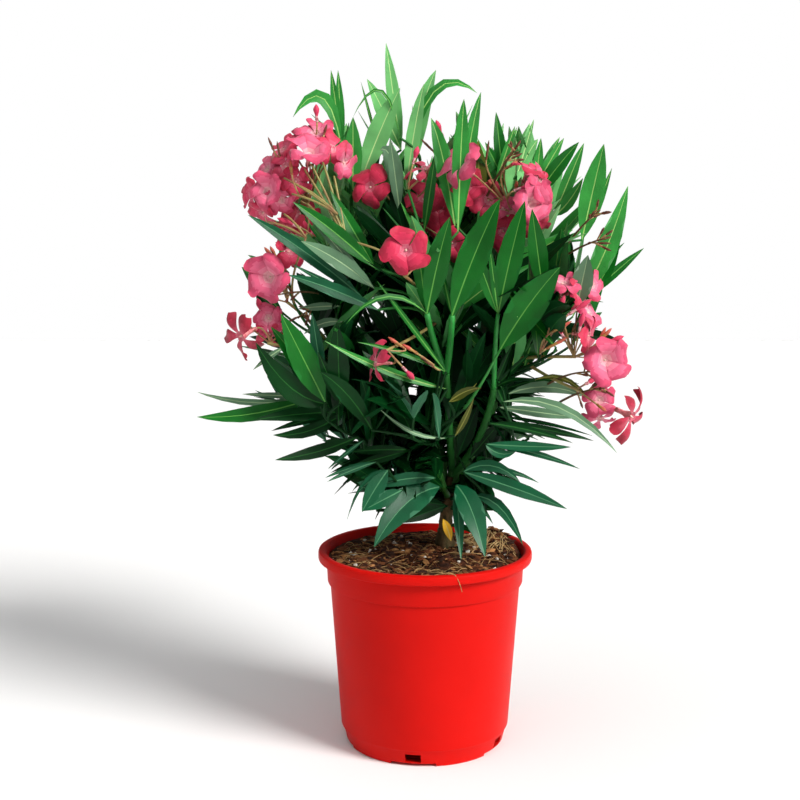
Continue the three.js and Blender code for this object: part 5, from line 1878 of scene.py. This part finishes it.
def add_bud(petals, greens, root, foot, tip, kind):
    """A furled bud on its stalk."""
    bud = BUDS[kind]
    sides = 10
    axis = tip - foot
    direction = axis.normalized()
    u, v = across(direction)
    points = []
    for along, share in bud["outline"]:
        for i in range(sides):
            turn = 2 * math.pi * i / sides + 2.2 * along
            radius = bud["radius"] * share * (1 + 0.14 * math.cos(5 * turn - 8 * along))
            points.append(foot + axis * along + u * (radius * math.cos(turn)) + v * (radius * math.sin(turn)))
    faces = quads_between(len(bud["outline"]) - 1, sides)
    skins = []
    for along, _ in bud["outline"][:-1]:
        skins.extend([bud["tip"] if along > 0.3 else bud["foot"]] * sides)
    petals.add(points, faces, skins)
    add_calyx(greens, foot, direction, 0.35 + 0.15 * bud["radius"])
    add_pedicel(greens, root, foot, direction)


def add_spent(petals, greens, tip_px, foot_px, y, roll):
    """A spent head: a bare brown stalk with dried buds towards its tip."""
    tip, foot = at_pixel(*tip_px, y), at_pixel(*foot_px, y + SPENT["behind"])
    stalk = Sweep(foot, (foot + tip) / 2 + UP * SPENT["bow"], tip)
    greens.add(*tube_shape(stalk, lambda t, turn: 1.3 - 0.5 * t, 6, 10), SPENT_STALK)
    for i in range(SPENT["buds"]):
        share = spread(SPENT["from"], roll())
        root = stalk.at(share)
        direction = leaning(stalk.heading(share), spread(SPENT["lean"], roll()), i * GOLDEN_ANGLE)
        bud_foot = root + direction * spread(SPENT["stalk"], roll())
        add_bud(petals, greens, root, bud_foot, bud_foot + direction * spread(SPENT["bud"], roll()), "brown")


def petal_materials():
    """Four for each tone, in the order of PETAL_TONES, then the skins of tube, heart and buds."""
    made = []
    for name, colors in PETAL_TONES.items():
        for i, color in enumerate(colors):
            made.append(make_material(f"petal_{name}_{i}", linear(*color), 0.55, (0.9, 1.1), 110, 0.35, 500,
                                      specular=0.25, sheen=0.2))
    made.append(make_material("petal_tube", linear(232, 150, 150), 0.55, (0.85, 1.08), 240, 0.2, 500,
                              second=linear(222, 96, 112)))
    made.append(make_material("flower_heart", linear(240, 208, 190), 0.6, (0.9, 1.05), 200))
    made.append(make_material("bud_tip", linear(190, 72, 64), 0.55, (0.8, 1.15), 200, 0.2, 500,
                              second=linear(196, 110, 70)))
    made.append(make_material("bud_foot", linear(168, 134, 64), 0.55, (0.8, 1.15), 200, 0.2, 500,
                              second=linear(176, 100, 56)))
    made.append(make_material("bud_brown", linear(112, 52, 36), 0.6, (0.8, 1.2), 200, 0.2, 500,
                              second=linear(88, 60, 34)))
    return made


def root_for(foot, tip, roots):
    """The root that a placed bud's stalk comes from: near its foot and behind it."""
    ahead = (tip - foot).normalized()
    return min(roots, key=lambda root: (foot - root).length * (2 - ahead.dot((foot - root).normalized())))


def stem_materials():
    """In the order of PEDICEL, CALYX and SPENT_STALK."""
    patches = {"patchy": (0.8, 1.15), "scale": 120}
    return [
        make_material("pedicel", linear(164, 150, 92), 0.55, second=linear(176, 104, 78), **patches),
        make_material("calyx", linear(150, 104, 68), 0.6, second=linear(166, 66, 60), **patches),
        make_material("spent_stalk", linear(104, 64, 40), 0.7, second=linear(100, 88, 48), **patches),
    ]


def make_flowers(flowers, bud_roots):
    roll = dice(SEEDS["flowers"])
    petals, greens = Pile(), Pile()
    heads = {}
    for flower in flowers:
        heads.setdefault(flower["head"], []).append(flower)
        add_flower(petals, greens, flower, roll)
    for opened in heads.values():
        add_seeded_buds(petals, greens, opened, roll)
    roots = [opened[0]["root"] for opened in heads.values()] + bud_roots
    for tip_px, foot_px, y, kind in SHOWN_BUDS:
        foot, tip = at_pixel(*foot_px, y), at_pixel(*tip_px, y)
        add_bud(petals, greens, root_for(foot, tip, roots), foot, tip, kind)
    for tip_px, foot_px, y in SPENT_HEADS:
        add_spent(petals, greens, tip_px, foot_px, y, roll)
    piece = petals.piece("blossom", petal_materials())
    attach(piece, "root")
    piece = greens.piece("flower_stalks", stem_materials())
    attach(piece, "root")


def add_seeded_buds(petals, greens, opened, roll):
    """Buds among a head's flowers, over the same cone."""
    root = opened[0]["root"]
    middle = sum(((f["foot"] - root).normalized() for f in opened), Vector()).normalized()
    for i in range(SEEDED_BUDS["least"] + len(opened) // 2):
        direction = leaning(middle, spread(SEEDED_BUDS["lean"], roll()), i * GOLDEN_ANGLE + 1)
        kind = list(BUDS)[int(len(BUDS) * roll())]
        foot = root + direction * spread(SEEDED_BUDS["stalk"], roll())
        long = BUDS[kind]["long"] * lerp(*SEEDED_BUDS["sizes"], roll())
        add_bud(petals, greens, root, foot, foot + direction * long, kind)


# ---- Floor and light ----


FLOOR_REACH = 4000
STUDIO = {"radius": 5800, "foot": -400, "top": 5000}
SKY_STRENGTH = 0.26
# The side that a light comes from, its power, the angle that it fills in degrees and its colour.
SUNS = {
    "key": ((0.95, -0.7, 0.85), 4.0, 24, (1, 0.985, 0.96)),
    "top": ((-0.2, -0.3, 1), 0.8, 60, (1, 1, 1)),
}


def make_floor():
    white = make_material("floor_white", (0.9, 0.9, 0.9), 0.8, (0.99, 1.0), 2)
    corners = [(x * FLOOR_REACH, y * FLOOR_REACH, 0) for x, y in ((-1, -1), (1, -1), (1, 1), (-1, 1))]
    floor = make_piece("floor", corners, [(0, 1, 2, 3)], [white], smooth=False)


def add_sun(name, place, power, width, color):
    """A far light from the side of place, with soft shadows."""
    data = bpy.data.lights.new(name, "SUN")
    data.energy = power
    data.angle = math.radians(width)
    data.color = color
    light = bpy.data.objects.new(name, data)
    light.rotation_euler = Vector(place).to_track_quat("Z", "Y").to_euler()
    bpy.context.scene.collection.objects.link(light)


def make_lights():
    world = bpy.data.worlds.new("studio")
    bpy.context.scene.world = world
    world.use_nodes = True
    background = world.node_tree.nodes["Background"]
    background.inputs["Color"].default_value = (1, 1, 1, 1)
    background.inputs["Strength"].default_value = SKY_STRENGTH
    for name, sun in SUNS.items():
        add_sun(name, *sun)


def make_backdrop():
    """A white studio all round, which gives no light of its own."""
    white = bpy.data.materials.new("backdrop_white")
    white.use_nodes = True
    nodes = white.node_tree.nodes
    nodes.remove(nodes["Principled BSDF"])
    glow = nodes.new("ShaderNodeEmission")
    glow.inputs["Color"].default_value = (1, 1, 1, 1)
    white.node_tree.links.new(glow.outputs["Emission"], nodes["Material Output"].inputs["Surface"])
    foot, top, radius = STUDIO["foot"], STUDIO["top"], STUDIO["radius"]
    points, faces = lathe([(0, foot), (radius, foot), (radius, top), (0, top)], 64)
    backdrop = make_piece("backdrop", points, faces, [white])
    backdrop.visible_diffuse = False
    backdrop.visible_glossy = False
    backdrop.visible_shadow = False


bpy.context.scene.view_settings.view_transform = "Standard"
make_camera()
make_floor()
make_backdrop()
make_lights()
limbs = lay_out_limbs()
make_pot()
make_soil()
make_litter()
make_limbs(limbs)
plant = grow_plant(limbs)
make_twigs(plant.twigs, plant.stalks)
make_foliage(plant.leaves)
make_flowers(plant.flowers, plant.bud_roots)
